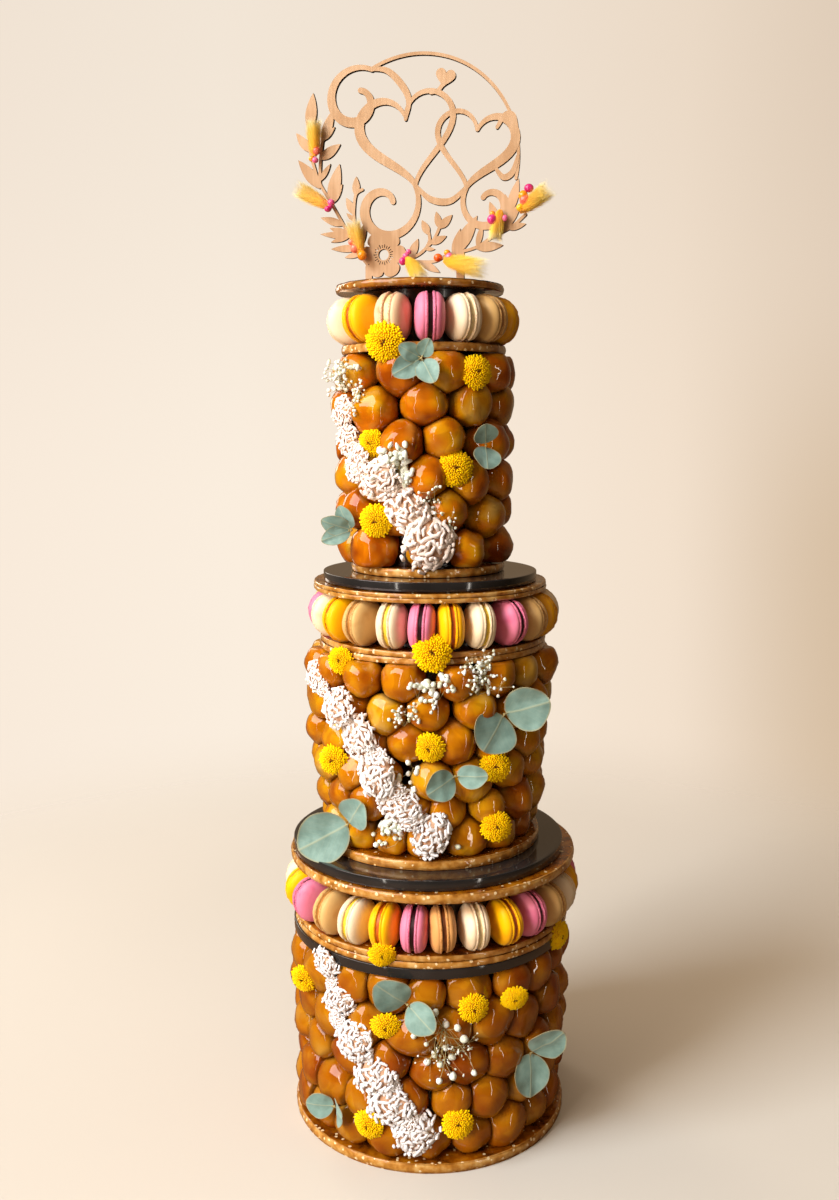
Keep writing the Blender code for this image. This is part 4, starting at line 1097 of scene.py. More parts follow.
def coral_garland(name, clusters, pad, places, wall, tube_material, pad_material, *nodes):
    """The clusters down the slope, and a small one beside each place where two meet."""
    rng = random.Random(name)
    made, pads = [], []
    spots = list(places)
    for (shift, a, h, w), (_, b, i, v) in zip(places, places[1:]):
        spots.append((shift, (a + b) / 2 + rng.uniform(-4, 4), (h + i) / 2 + rng.uniform(-4, 4) * MM,
                      (w + v) * 0.29))
    for shift, azimuth, height, width in spots:
        distance = wall.distance(azimuth, height, shift, width * 0.3) - width * 0.06
        spot = facing(azimuth, height, shift, distance)
        turn = Matrix.Rotation(rng.uniform(0, math.tau), 4, "Z") \
            @ Matrix.Rotation(rng.uniform(-0.2, 0.2), 4, "X")
        form = Matrix.Diagonal((width * 1.10, width * rng.uniform(0.86, 1.06), width * 0.60, 1))
        made.append(copied(rng.choice(clusters), spot @ turn @ form))
        pads.append(copied(pad, spot @ turn @ form))
    served(painted(joined(name, made), tube_material), "coral_flower", *nodes)
    served(painted(joined(name + "_pads", pads), pad_material), "coral_flower")


def gypsophila(name, sprays, singles, wall, white, green):
    """Airy sprays: thread-like stems that fork, each ending in a tiny white blossom, and a few
    large blossoms on long curved stems."""
    rng = random.Random(name)
    bpy.ops.mesh.primitive_uv_sphere_add(segments=7, ring_count=5, radius=1)
    ball = rounded(started("blossom"))
    points = points_of(ball)
    for i, p in enumerate(points):
        points[i] = p * (1 + 0.16 * noise.noise(Vector(p) * 1.9))
    set_points(ball, points)
    bpy.ops.mesh.primitive_cone_add(vertices=4, radius1=1, radius2=0.7, depth=1,
                                    location=(0, 0, 0.5))
    stem = settled(started("stem"))
    balls, stems = [], []

    def strand(a, b, width):
        run = b - a
        aim = run.to_track_quat("Z", "Y").to_matrix().to_4x4()
        stems.append(copied(stem, Matrix.Translation(a) @ aim
                            @ Matrix.Diagonal((width, width, run.length, 1))))

    def blossom(place, size, long=1.0):
        squash = Matrix.Diagonal((size * rng.uniform(0.85, 1.15), size * long, size * 0.9, 1))
        tilt = Matrix.Rotation(rng.uniform(0, math.pi), 4, "X")
        turn = Matrix.Rotation(rng.uniform(0, math.tau), 4, "Z")
        balls.append(copied(ball, Matrix.Translation(place) @ turn @ tilt @ squash))

    for shift, azimuth, height, width, tall, count, size in sprays:
        distance = wall.distance(azimuth, height, shift, 0.008)

        def spot(across, rise, lift):
            turned = azimuth + math.degrees(across / distance)
            surface = wall.distance(turned, height + rise, shift)
            surface = max(surface, distance - 8 * MM)
            return Vector((shift, 0, height + rise)) + outward(turned) * (surface + lift)

        root = spot(rng.uniform(-0.1, 0.1) * width, -0.42 * tall, 0.0)
        forks = []
        for _ in range(max(2, count // 5)):
            across = rng.uniform(-0.36, 0.36) * width
            rise = rng.uniform(-0.30, 0.36) * tall
            forks.append((across, rise, spot(across, rise, rng.uniform(1, 6) * MM)))
            strand(root, forks[-1][2], 0.22 * MM)
        for _ in range(count):
            across, rise, fork = rng.choice(forks)
            across = max(-0.5, min(0.5, across / width + rng.gauss(0, 0.13))) * width
            rise = max(-0.5, min(0.5, rise / tall + rng.gauss(0, 0.13))) * tall
            grown = size * rng.uniform(0.75, 1.3)
            place = spot(across, rise, grown * 0.6 + abs(rng.gauss(0, width * 0.09)))
            strand(fork, place, 0.15 * MM)
            blossom(place, grown, 1.9 if count > 40 and rng.random() < 0.3 else 1.0)
    for azimuth, height, size in singles:
        root_azimuth = singles[0][0] + 3 + rng.uniform(-1.2, 1.2)
        root_height = 0.141 + rng.uniform(-3, 3) * MM
        start = outward(root_azimuth) * (wall.distance(root_azimuth, root_height, 0) + MM)
        start.z = root_height
        surface = wall.distance(azimuth, height, 0.0, size)
        end = outward(azimuth) * (surface + size * 0.7) + UP * height
        middle = start.lerp(end, 0.5) + outward(azimuth + 90) * rng.uniform(-11, 11) * MM
        middle += outward(azimuth) * 5 * MM
        bends = [start.lerp(middle, t).lerp(middle.lerp(end, t), t)
                 for t in (0, 0.15, 0.3, 0.45, 0.6, 0.75, 0.9, 1.0)]
        for a, b in zip(bends, bends[1:]):
            strand(a, b, 0.30 * MM)
        blossom(end, size)
    removed(ball, stem)
    served(painted(joined(name, balls), white), "coral_flower")
    served(painted(joined(name + "_stems", stems), green), "eucalyptus_leaf")


# ============================================================================ the ornament
# in centimetres from the foot of the pegs, x to the right and y up

RING = ((-1.1, 10.85), 9.0, 0.28, -12.0, 118.0)
LEAVES = (
    ((-11.1, 14.0), (-10.7, 17.1), 1.05), ((-11.1, 12.1), (-12.35, 13.75), 0.80),
    ((-10.1, 11.4), (-8.2, 12.6), 0.90), ((-9.9, 12.9), (-8.8, 15.6), 0.90),
    ((-9.85, 13.0), (-8.7, 14.1), 0.50), ((-10.15, 8.9), (-12.2, 11.4), 1.05),
    ((-10.2, 9.5), (-9.15, 10.95), 0.50), ((-9.2, 7.6), (-8.3, 10.9), 1.15),
    ((-9.05, 7.5), (-8.05, 9.15), 0.60), ((-8.0, 5.6), (-10.15, 6.3), 0.70),
    ((-7.4, 4.7), (-9.3, 5.35), 0.65), ((-7.4, 4.6), (-10.2, 4.85), 0.60),
    ((-7.4, 4.6), (-9.2, 4.1), 0.50), ((-6.6, 3.5), (-9.2, 3.5), 0.65),
    ((-6.3, 3.1), (-7.9, 2.7), 0.55), ((-6.8, 8.1), (-6.75, 9.75), 0.70),
    ((-7.0, 6.5), (-7.7, 7.95), 0.70), ((-6.95, 5.9), (-7.7, 6.6), 0.40),
    ((-6.5, 3.6), (-5.9, 5.85), 0.70), ((-1.8, 2.5), (-1.05, 4.15), 0.75),
    ((-0.1, 4.5), (-0.7, 5.75), 0.70), ((0.9, 5.0), (0.6, 6.45), 0.65),
    ((0.9, 5.0), (2.05, 6.1), 0.70), ((0.1, 3.7), (1.55, 4.3), 0.65),
    ((-0.4, 3.25), (0.5, 3.2), 0.35), ((2.1, 2.8), (2.8, 4.9), 0.60),
    ((2.4, 2.8), (4.3, 5.95), 1.20), ((4.3, 3.3), (4.8, 5.25), 0.55),
    ((4.2, 3.2), (6.65, 3.35), 0.85), ((6.1, 5.2), (5.4, 7.1), 0.80),
    ((6.6, 4.7), (8.2, 6.9), 0.80), ((7.0, 4.75), (8.65, 5.1), 0.60),
    ((7.2, 6.2), (6.75, 7.7), 0.50), ((7.15, 6.1), (7.95, 8.95), 0.85),
    ((-0.9, 2.2), (0.95, 1.15), 0.70),
)
STEM_WIDTH = 0.26
STEMS = (
    ((-11.1, 14.3), (-11.05, 12.1), (-10.7, 10.7), (-10.2, 9.3), (-9.05, 7.4), (-7.4, 4.6),
     (-6.3, 3.0), (-5.6, 1.6)),
    ((-9.85, 13.2), (-10.1, 11.3), (-10.2, 9.2)),
    ((-6.7, 3.5), (-6.95, 5.6), (-7.0, 6.9), (-6.8, 8.2), (-6.2, 8.6)),
    ((-2.7, 2.5), (-1.7, 2.5), (-0.9, 2.85), (-0.2, 3.45), (0.45, 4.15), (0.95, 5.2)),
    ((-0.3, 3.35), (0.0, 4.0), (-0.1, 4.7)),
    ((-2.7, 2.3), (-0.8, 2.15), (0.45, 2.15), (1.25, 2.5), (2.1, 2.8), (3.1, 2.95),
     (4.35, 3.3), (5.6, 4.05), (6.6, 4.5), (7.6, 5.05), (8.6, 5.9)),
    ((6.3, 4.3), (6.9, 5.3), (7.2, 6.4)),
    ((5.9, 4.1), (6.2, 4.8), (6.05, 5.4)),
)
BLOSSOM = ((-4.25, 2.85), 2.10, 0.48)            # centre, radius, radius of the hole
SLITS = 22                                       # cut round the blossom's hole
PEGS = ((-5.95, -5.35, 1.9), (2.45, 3.15, 2.95))
HEARTS = (
    ((-1.9, 12.5), 8.6, 9.0, 0.92, 0.52),
    ((3.9, 11.4), 7.0, -11.0, 0.48, 0.85),
)
STROKE_END = 0.30
HEART_NOTCH, HEART_TIP = 12, 184
SMALL_HEART = ((1.35, 17.6), 1.8, -14.0)
SCROLLS = (
    ((-6.7, 16.2), 2.95, 0.95, 60.0, 425.0, (0.40, 0.85, 0.50)),
    ((-4.1, 7.0), 3.26, 0.85, 31.0, -330.0, (0.40, 0.90, 0.50)),
    ((5.3, 6.9), 2.45, 0.75, 145.0, 490.0, (0.40, 0.75, 0.45)),
)
SWEEPS = (
    (((-5.4, 18.8), (-3.9, 18.6), (-2.6, 17.4), (-1.9, 16.0), (-2.2, 14.4)), 0.62),
    (((6.0, 13.3), (6.7, 14.3), (7.4, 14.2), (7.75, 13.0)), 0.50),
    (((5.9, 9.9), (6.6, 9.1), (7.4, 9.5), (7.85, 10.8)), 0.55),
    (((-1.35, 8.8), (0.1, 7.5), (1.9, 7.3), (3.4, 8.5)), 0.60),
    (((0.1, 16.5), (0.8, 16.7), (1.3, 17.4)), 0.35),
)
# hare's-tail tufts: foot, tip, thickness
TAILS = (
    ((-10.45, 11.5), (-10.50, 14.5), 1.40), ((-9.10, 7.1), (-12.10, 8.8), 1.50),
    ((-6.15, 2.7), (-6.95, 5.7), 1.40), ((-2.00, 2.5), (-0.80, 0.8), 1.45),
    ((1.40, 2.15), (5.00, 1.25), 1.80), ((6.45, 6.3), (6.00, 3.8), 1.20),
    ((8.10, 6.0), (10.60, 7.75), 1.55),
)
# berries: x, height, radius, colour
BERRIES = (
    (-10.25, 12.0, 0.38, "coral"), (-10.40, 11.20, 0.30, "rose"), (-10.75, 11.35, 0.27, "amber"),
    (-8.95, 7.45, 0.34, "rose"), (-9.25, 6.95, 0.34, "magenta"), (-9.05, 7.15, 0.30, "magenta"),
    (-7.05, 3.95, 0.34, "coral"), (-6.75, 3.40, 0.42, "coral"), (-6.05, 2.75, 0.45, "amber"),
    (-2.32, 2.15, 0.34, "magenta"), (-2.05, 2.62, 0.30, "rose"), (-1.80, 2.95, 0.26, "rose"),
    (0.92, 2.35, 0.40, "vermilion"), (1.95, 2.35, 0.38, "rose"), (1.72, 2.78, 0.30, "amber"),
    (2.05, 2.05, 0.30, "rose"),
    (5.75, 5.45, 0.44, "magenta"), (6.85, 5.55, 0.28, "rose"), (5.75, 5.95, 0.26, "amber"),
    (8.60, 6.95, 0.46, "coral"), (8.95, 7.95, 0.42, "magenta"), (8.45, 7.35, 0.42, "amber"),
    (8.25, 6.35, 0.40, "honey"), (8.85, 6.35, 0.34, "honey"),
)


def on_ornament(x, height, forward=0.0):
    """A point of the ornament's frame, in centimetres, as a place in the tower's frame."""
    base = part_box("nougatine_top_cover")[1].z + 0.3 * MM
    turn = Matrix.Rotation(math.radians(ORNAMENT_TURN), 4, "Z")
    return Matrix.Translation((ORNAMENT_AXIS, 0, base)) @ turn \
        @ Vector((x * CM - ORNAMENT_AXIS, -forward, height * CM))


def board(outlines, number=0):
    """A board cut from flat outlines, the first its edge and the rest its openings. Each is
    thicker than the last by less than can be seen, so that no two faces coincide."""
    curve = bpy.data.curves.new("board", "CURVE")
    curve.dimensions = "2D"
    curve.fill_mode = "BOTH"
    curve.extrude = PLY_THICKNESS / 2 + number * PLY_STEP
    for outline in outlines:
        spline = curve.splines.new("POLY")
        spline.points.add(len(outline) - 1)
        spline.use_cyclic_u = True
        for point, (x, y) in zip(spline.points, outline):
            point.co = (x * CM, y * CM, 0, 1)
    flat = bpy.data.objects.new("board", curve)
    bpy.context.scene.collection.objects.link(flat)
    pick(flat)
    bpy.ops.object.convert(target="MESH")
    made = started("board")
    shaping(made)
    bpy.ops.mesh.select_all(action="SELECT")
    bpy.ops.mesh.remove_doubles(threshold=0.02 * MM)
    bpy.ops.mesh.normals_make_consistent(inside=False)
    shaped()
    return made


def ribbon(points, widths):
    """The outline of a stroke with round ends along points, as wide at each as widths says."""
    left, right = [], []
    for i, (x, y) in enumerate(points):
        x0, y0 = points[max(i - 1, 0)]
        x1, y1 = points[min(i + 1, len(points) - 1)]
        run = math.hypot(x1 - x0, y1 - y0)
        nx, ny = -(y1 - y0) / run * widths[i] / 2, (x1 - x0) / run * widths[i] / 2
        left.append((x + nx, y + ny))
        right.append((x - nx, y - ny))
    ends = []
    for k, width in ((-1, widths[-1]), (0, widths[0])):
        x, y = points[k]
        a = left[k] if k else right[k]
        start = math.atan2(a[1] - y, a[0] - x)
        ends.append([(x + width / 2 * math.cos(start - math.pi * s / 5),
                      y + width / 2 * math.sin(start - math.pi * s / 5)) for s in (1, 2, 3, 4)])
    return left + ends[0] + right[::-1] + ends[1]


def arc(centre, radius, start, end, count):
    """Points on an arc, or on a spiral when radius is a pair."""
    first, last = radius if isinstance(radius, tuple) else (radius, radius)
    points = []
    for i in range(count):
        share = i / (count - 1)
        angle = math.radians(start + (end - start) * share)
        reach = first + (last - first) * share
        points.append((centre[0] + reach * math.cos(angle), centre[1] + reach * math.sin(angle)))
    return points


def swelling(count, first, middle, last):
    """Widths along a stroke that swells in the middle."""
    made = []
    for i in range(count):
        share = i / (count - 1)
        ends = first + (last - first) * share
        made.append(ends + (middle - ends) * math.sin(math.pi * share) ** 1.5)
    return made


def leaf_outline(base, tip, width, count=9):
    """A pointed leaf, widest at two fifths of its length."""
    dx, dy = tip[0] - base[0], tip[1] - base[1]
    length = math.hypot(dx, dy)
    ax, ay = -dy / length * width / 2, dx / length * width / 2
    left, right = [], []
    for i in range(count):
        t = i / count
        w = math.sin(math.pi * t ** 0.78) ** 0.85 if t else 0.22
        w = max(w, 0.22 * (1 - t))
        left.append((base[0] + dx * t + ax * w, base[1] + dy * t + ay * w))
        right.append((base[0] + dx * t - ax * w, base[1] + dy * t - ay * w))
    return left + [tip] + right[::-1]


def heart_line(centre, width, turn, start, end, count):
    """Points on a heart, by the usual formula, from its notch at 0 to its tip at 180."""
    points = []
    cosine, sine = math.cos(math.radians(turn)), math.sin(math.radians(turn))
    for i in range(count):
        t = math.radians(start + (end - start) * i / (count - 1))
        x = 16 * math.sin(t) ** 3 * width / 32
        y = (13 * math.cos(t) - 5 * math.cos(2 * t) - 2 * math.cos(3 * t) - math.cos(4 * t)
             + 2.5) * width / 32
        points.append((centre[0] + x * cosine - y * sine, centre[1] + x * sine + y * cosine))
    return points


def smooth(points, count):
    """A Catmull-Rom curve through the points."""
    ends = [points[0], *points, points[-1]]
    made = []
    for i in range(count):
        place = i / (count - 1) * (len(points) - 1)
        k = min(int(place), len(points) - 2)
        t = place - k
        p0, p1, p2, p3 = ends[k:k + 4]
        made.append(tuple(0.5 * (2 * b + (c - a) * t + (2 * a - 5 * b + 4 * c - d) * t * t
                                 + (3 * b - a - 3 * c + d) * t ** 3)
                          for a, b, c, d in zip(p0, p1, p2, p3)))
    return made


def blossom_outlines():
    """Six notched petals, the round hole and the slits about it."""
    centre, radius, hole = BLOSSOM
    rim = []
    for i in range(96):
        angle = math.tau * i / 96
        reach = radius * (0.70 + 0.30 * abs(math.cos(3 * angle)) ** 0.45)
        rim.append((centre[0] + reach * math.cos(angle), centre[1] + reach * math.sin(angle)))
    outlines = [rim, arc(centre, hole, 0, 348.75, 32)]
    for i in range(SLITS):
        angle = math.tau * i / SLITS
        along = (math.cos(angle), math.sin(angle))
        inner, outer = hole + 0.12, hole + (0.45 if i % 2 else 0.36)
        outlines.append([(centre[0] + along[0] * r - along[1] * w,
                          centre[1] + along[1] * r + along[0] * w)
                         for r, w in ((inner, -0.035), (outer, -0.035),
                                      (outer, 0.035), (inner, 0.035))])
    return outlines


def ornament(face, edge):
    centre, radius, width, first, last = RING
    shapes = [[ribbon(arc(centre, radius, first, last, 60), [width] * 60)]]
    shapes += [[leaf_outline(*leaf)] for leaf in LEAVES]
    for stem in STEMS:
        count = 4 * len(stem)
        shapes.append([ribbon(smooth(stem, count), [STEM_WIDTH] * count)])
    for left, right, height in PEGS:
        shapes.append([[(left, 0), (right, 0), (right, height), (left, height)]])
    for heart, size, turn, left, right in HEARTS:
        for side, breadth in ((-1, left), (1, right)):
            line = heart_line(heart, size, turn, side * HEART_NOTCH, side * HEART_TIP, 34)
            shapes.append([ribbon(line, swelling(34, STROKE_END, breadth, STROKE_END))])
    shapes.append([heart_line(*SMALL_HEART, HEART_NOTCH, 360 - HEART_NOTCH, 28)])
    for middle, outer, inner, start, end, widths in SCROLLS:
        line = arc(middle, (outer, inner), start, end, 56)
        shapes.append([ribbon(line, swelling(56, *widths))])
    for points, breadth in SWEEPS:
        shapes.append([ribbon(smooth(points, 20), swelling(20, STROKE_END, breadth, STROKE_END))])
    shapes.append(blossom_outlines())
    made = joined("ornament_board", [board(shape, i) for i, shape in enumerate(shapes)])
    base = on_ornament(0, 0)
    made.data.transform(Matrix.Translation(base)
                        @ Matrix.Rotation(math.radians(ORNAMENT_TURN), 4, "Z")
                        @ Matrix.Rotation(math.pi / 2, 4, "X"))
    painted(made, face, edge)
    front = (on_ornament(0, 0, 1) - on_ornament(0, 0)).normalized()
    for flat in made.data.polygons:
        flat.material_index = 0 if abs(flat.normal.dot(front)) > 0.7 else 1
    return served(made, "poplar_plywood", "wooden_topper")


def bristle():
    """A fine tapering bristle of unit length along +Z."""
    bpy.ops.mesh.primitive_cone_add(vertices=3, radius1=0.5, radius2=0, depth=1,
                                    location=(0, 0, 0.5))
    return settled(started("bristle"))


def tuft(number, foot, tip, thickness, model, count=1500):
    """A soft oval head of bristles that lean towards its tip, over a slim core."""
    rng = random.Random(number)
    forward = (on_ornament(0, 0, 1) - on_ornament(0, 0)).normalized()
    lift = forward * (PLY_THICKNESS / 2 + thickness * CM * 0.42)
    start, end = on_ornament(*foot) + lift, on_ornament(*tip) + lift
    axis = end - start
    length = axis.length
    axis.normalize()
    side = axis.cross(forward).normalized()
    other = axis.cross(side).normalized()
    radius = thickness * CM / 2
    bristles = []
    for i in range(count):
        share = (i + rng.random()) / count * 0.80
        turn = i * GOLDEN_ANGLE
        belly = math.sin(math.pi * min(1, share * 0.70 + 0.12)) ** 0.8
        around = side * math.cos(turn) + other * math.sin(turn)
        place = start + axis * length * share + around * radius * 0.52 * belly
        way = (axis + around * rng.uniform(0.22, 0.72) * (1 - 0.3 * share)).normalized()
        reach = radius * rng.uniform(0.9, 1.3) * (1 + 0.5 * share)
        aim = way.to_track_quat("Z", "Y").to_matrix().to_4x4()
        made = copied(model, Matrix.Translation(place) @ aim
                      @ Matrix.Diagonal((0.30 * MM, 0.30 * MM, reach, 1)))
        points = points_of(made)
        out = np.linalg.norm(points - np.array(place), axis=1) / reach
        attribute(made, "along", 0.75 * share + 0.32 * out)
        bristles.append(made)
    bpy.ops.mesh.primitive_uv_sphere_add(segments=14, ring_count=12, radius=1)
    core = started("core")
    core.data.transform(Matrix.Translation(start.lerp(end, 0.45))
                        @ axis.to_track_quat("Z", "Y").to_matrix().to_4x4()
                        @ Matrix.Diagonal((radius * 0.62, radius * 0.62, length * 0.44, 1)))
    along = ((points_of(core) - np.array(start)) @ np.array(axis)) / length
    attribute(core, "along", np.clip(along, 0, 1) * 0.8)
    bristles.append(rounded(core))
    return joined(f"tuft_{number}", bristles)


def berries(shades):
    bpy.ops.mesh.primitive_uv_sphere_add(segments=16, ring_count=10, radius=CM)
    model = rounded(started("berry"))
    by_shade = {}
    rng = random.Random("berries")
    for x, height, radius, shade in BERRIES:
        place = on_ornament(x, height, PLY_THICKNESS / 2 + radius * CM * 1.1 + 2.5 * MM)
        squash = Matrix.Diagonal((radius, radius * 0.95, radius * rng.uniform(0.85, 1.1), 1))
        by_shade.setdefault(shade, []).append(copied(model, Matrix.Translation(place) @ squash))
    removed(model)
    for shade, group in by_shade.items():
        made = painted(joined(f"berries_{shade}", group), shades[shade])
        served(made, "hare_tail_grass")


# ================================================================================ the whole


# caramel on each wall: thick, middling and thin glaze, then the bare pastry
CARAMEL_SHADES = {
    "choux_tier_bottom": ("#8c3e05", "#ad6307", "#ba770d", "#c69036"),
    "choux_tier_middle": ("#a65406", "#cd7e07", "#d3980f", "#dbae54"),
    "choux_tier_top": ("#923f04", "#cd6c04", "#d6940c", "#dcb254"),
}
# macarons: the shell's body, its deep shade at the foot and in the pores, then the filling
FLAVOUR_SHADES = {
    "vanilla": ("#f0d7b2", "#e4bd87", "#f5dc8e"),
    "ivory": ("#f4dab6", "#e6bd8a", "#f0d9a0"),
    "peach": ("#efc599", "#e6915f", "#f7e3a0"),
    "lemon": ("#f0d8b2", "#e4c18c", "#f6cf3c"),
    "orange": ("#ffb902", "#f6a202", "#c25a04"),
    "mustard": ("#f0a60a", "#cf8404", "#b06a05"),
    "rose": ("#ea819a", "#d65a7a", "#2c0710"),
    "hazelnut": ("#d8aa68", "#c08440", "#b87a34"),
    "caramel": ("#d99a58", "#b97434", "#6a3510"),
}
# berries: dark and light shade
BERRY_SHADES = {
    "coral": ("#e0503c", "#f58468"),
    "rose": ("#e0457e", "#f2749c"),
    "magenta": ("#c01560", "#e63a80"),
    "amber": ("#ee7a06", "#fca21c"),
    "vermilion": ("#d8400c", "#f2661c"),
    "honey": ("#dd9a04", "#f7bd20"),
}


def build():
    dark = gap_shade_caramel()
    kinds = [chou_kind(i) for i in range(CHOU_KINDS)]
    walls = []
    for node, shades in CARAMEL_SHADES.items():
        glaze = caramelled_choux(node.split("_")[-1], *shades)
        walls.append(choux_wall(node, kinds, glaze, dark))
    removed(*kinds)

    brittle = nougatine_brittle()
    nodes = sorted(frame["nodes"])
    for node in nodes:
        if node.startswith("nougatine"):
            walls.append(nougatine_disc(node, brittle, node == "nougatine_top_cover"))
    acrylic = smoked_acrylic()
    for node in nodes:
        if node.startswith("acrylic"):
            walls.append(acrylic_plate(node, acrylic))

    flavours = {name: (almond_shell(name, body, deep), filling(name, cream))
                for name, (body, deep, cream) in FLAVOUR_SHADES.items()}
    models = [macaron(i) for i in range(4)]
    for node in RINGS:
        macaron_ring(node, models, flavours)
    removed(*models)
    rings = [o for o in bpy.data.objects if o.name.startswith("macarons_")]
    wall = Wall(walls + rings)

    petal = dried_petal()
    heads = [yellow_head(i) for i in range(3)]
    places = []
    for node in nodes:
        if node.startswith("yellow_flower"):
            low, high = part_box(node)
            middle = (low + high) / 2
            shift = TOP_SHIFT if middle.z > TOP_TIER_FROM else 0.0
            azimuth = math.degrees(math.atan2(middle.x - shift, -middle.y))
            places.append((shift, azimuth, azimuth * FORWARD, middle.z, (high.z - low.z) / 2))
    yellow_flowers("yellow_flowers_front", heads, places, wall, petal,
                   *[n for n in nodes if n.startswith("yellow_flower")])
    behind = [(s, a + BACK_TURN, t, h, r) for s, a, t, h, r in places if abs(a) < BACK_REACH]
    yellow_flowers("yellow_flowers_back", heads, behind, wall, petal)
    removed(*heads)

    leaf, twig = eucalyptus_leaf(), plain_speckled("eucalyptus_twig", 2 * MM, "#8f7a4c", "#b9a56e",
                                                   Roughness=0.6)
    leaves = [leaf_model(i) for i in range(4)]
    sprigs = [(s, a, a * FORWARD, h, blades) for s, a, h, blades in SPRIGS]
    eucalyptus("eucalyptus_front", leaves, sprigs, wall, leaf, twig,
               *[n for n in nodes if n.startswith("eucalyptus")])
    back_sprigs = [(s, a + BACK_TURN, t, h, blades) for s, a, t, h, blades in sprigs
                   if abs(a) < BACK_REACH]
    eucalyptus("eucalyptus_back", leaves, back_sprigs, wall, leaf, twig)
    removed(*leaves)

    tube_skin = coral_blossom()
    # the pad under the tubes is painted tan for the shade in the gaps between them
    gap_shade_skin = plain_speckled("coral_gap_shade", 5 * MM, "#b07a52", "#dcb698", Roughness=0.8)
    tubes = [blossom_tube(i, bend) for i, bend in enumerate((0.0, 0.35, 0.7, 1.1))]
    clusters = [coral_cluster(i, tubes) for i in range(3)]
    pad = coral_pad()
    for node, (shift, spots) in CLUSTERS.items():
        for side, turn in (("front", 0), ("back", BACK_TURN)):
            garland = [(shift, azimuth + turn, height, width) for azimuth, height, width in spots
                       if side == "front" or abs(azimuth) < BACK_REACH]
            replaced = [node] if side == "front" else []
            coral_garland(f"{node.replace('garland', 'blossoms')}_{side}", clusters, pad, garland,
                          wall, tube_skin, gap_shade_skin, *replaced)
    removed(*tubes, *clusters, pad)

    white = plain_speckled("gypsophila_blossom", 7 * MM, "#dfe2c4", "#fcfbf6", Roughness=0.7)
    green = plain_speckled("gypsophila_stem", 3 * MM, "#a8985a", "#d2be88", Roughness=0.7)
    gypsophila("gypsophila_front", SPRAYS, LARGE_BLOSSOMS, wall, white, green)
    back_sprays = [(s, a + BACK_TURN, *rest) for s, a, *rest in SPRAYS if abs(a) < BACK_REACH]
    back_blossoms = [(a + BACK_TURN, h, r) for a, h, r in LARGE_BLOSSOMS]
    gypsophila("gypsophila_back", back_sprays, back_blossoms, wall, white, green)

    ornament(poplar_face(), charred_edge())
    model = bristle()
    tufts = [tuft(i, *tail, model) for i, tail in enumerate(TAILS)]
    removed(model)
    fluff = painted(joined("hare_tail_tufts", tufts), hare_tail_fluff())
    served(fluff, "hare_tail_grass", *[n for n in nodes if n.startswith("hare_tail")])
    berries({name: lacquered_berry(f"berry_{name}", *shades)
             for name, shades in BERRY_SHADES.items()})


# =========================================================================== studio and light


LAMP_TARGET = (0, 0, 0.50)
# lamps: name, place, breadth and height, watts, shade
LAMPS = (
    ("key_softbox", (-4.11, -2.67, 4.05), (2.8, 2.3), 500.0, "#e4f1ff"),
    ("front_softbox", (-1.98, -2.20, 1.0), (1.0, 1.2), 58.0, "#fff3e6"),
    ("key_reflection", (-1.78, -1.12, 2.03), (2.5, 1.9), 90.0, "#ffe9e2"),
    ("left_strip", (-1.05, -1.55, 0.5), (0.07, 1.7), 3.0, "#fff6ea"),
    ("right_strip", (1.15, -1.35, 0.5), (0.06, 1.7), 3.0, "#fff6ea"),
    ("rim_panel", (-0.9, 1.3, 1.3), (0.4, 1.4), 6.0, "#fff2e2"),
)
CAMERA_PLACE = (0.0, -1.08, 0.6618)
CAMERA_LENS, CAMERA_SENSOR = 34.84, 36.0    # millimetres
CAMERA_DOWN, CAMERA_TURN = 8.6, 0.518    # degrees below the level, and round to the left
CAMERA_SEES_TO = 50    # metres


def table_top():
    """A pale matt floor that fades out into the background."""
    bpy.ops.mesh.primitive_circle_add(vertices=96, radius=3.0, fill_type="NGON")
    floor = started("floor")
    made, tree, shader = material("cream_floor", Roughness=0.9, Specular_IOR_Level=0.1)
    where = put(tree, "ShaderNodeTexCoord").outputs["Object"]
    reach = put(tree, "ShaderNodeVectorMath", {"operation": "LENGTH"}, {0: where})
    fade = put(tree, "ShaderNodeMapRange", {"interpolation_type": "SMOOTHERSTEP"},
               {"Value": reach.outputs["Value"], 1: 0.45, 2: 1.6, 3: 1.0, 4: 0.0})
    shade = put(tree, "ShaderNodeValToRGB", inputs={"Fac": grain(tree, 0.6, 1.0)},
                stops=((0.3, "#cec5b7"), (0.7, "#d2c9bb")))
    # painted bounce light and a painted reflection: the floor lights things as a darker grey and is
    # mirrored as a dark amber
    path = put(tree, "ShaderNodeLightPath")
    bounced = put(tree, "ShaderNodeMix", {"data_type": "RGBA"},
                  {0: path.outputs["Is Diffuse Ray"], 6: shade.outputs["Color"],
                   7: colour("#8c8276")}).outputs[2]
    seen = put(tree, "ShaderNodeMix", {"data_type": "RGBA"},
               {0: path.outputs["Is Glossy Ray"], 6: bounced, 7: colour("#806044")}).outputs[2]
    tree.links.new(seen, shader.inputs["Base Color"])
    tree.links.new(fade.outputs["Result"], shader.inputs["Alpha"])
    painted(floor, made)


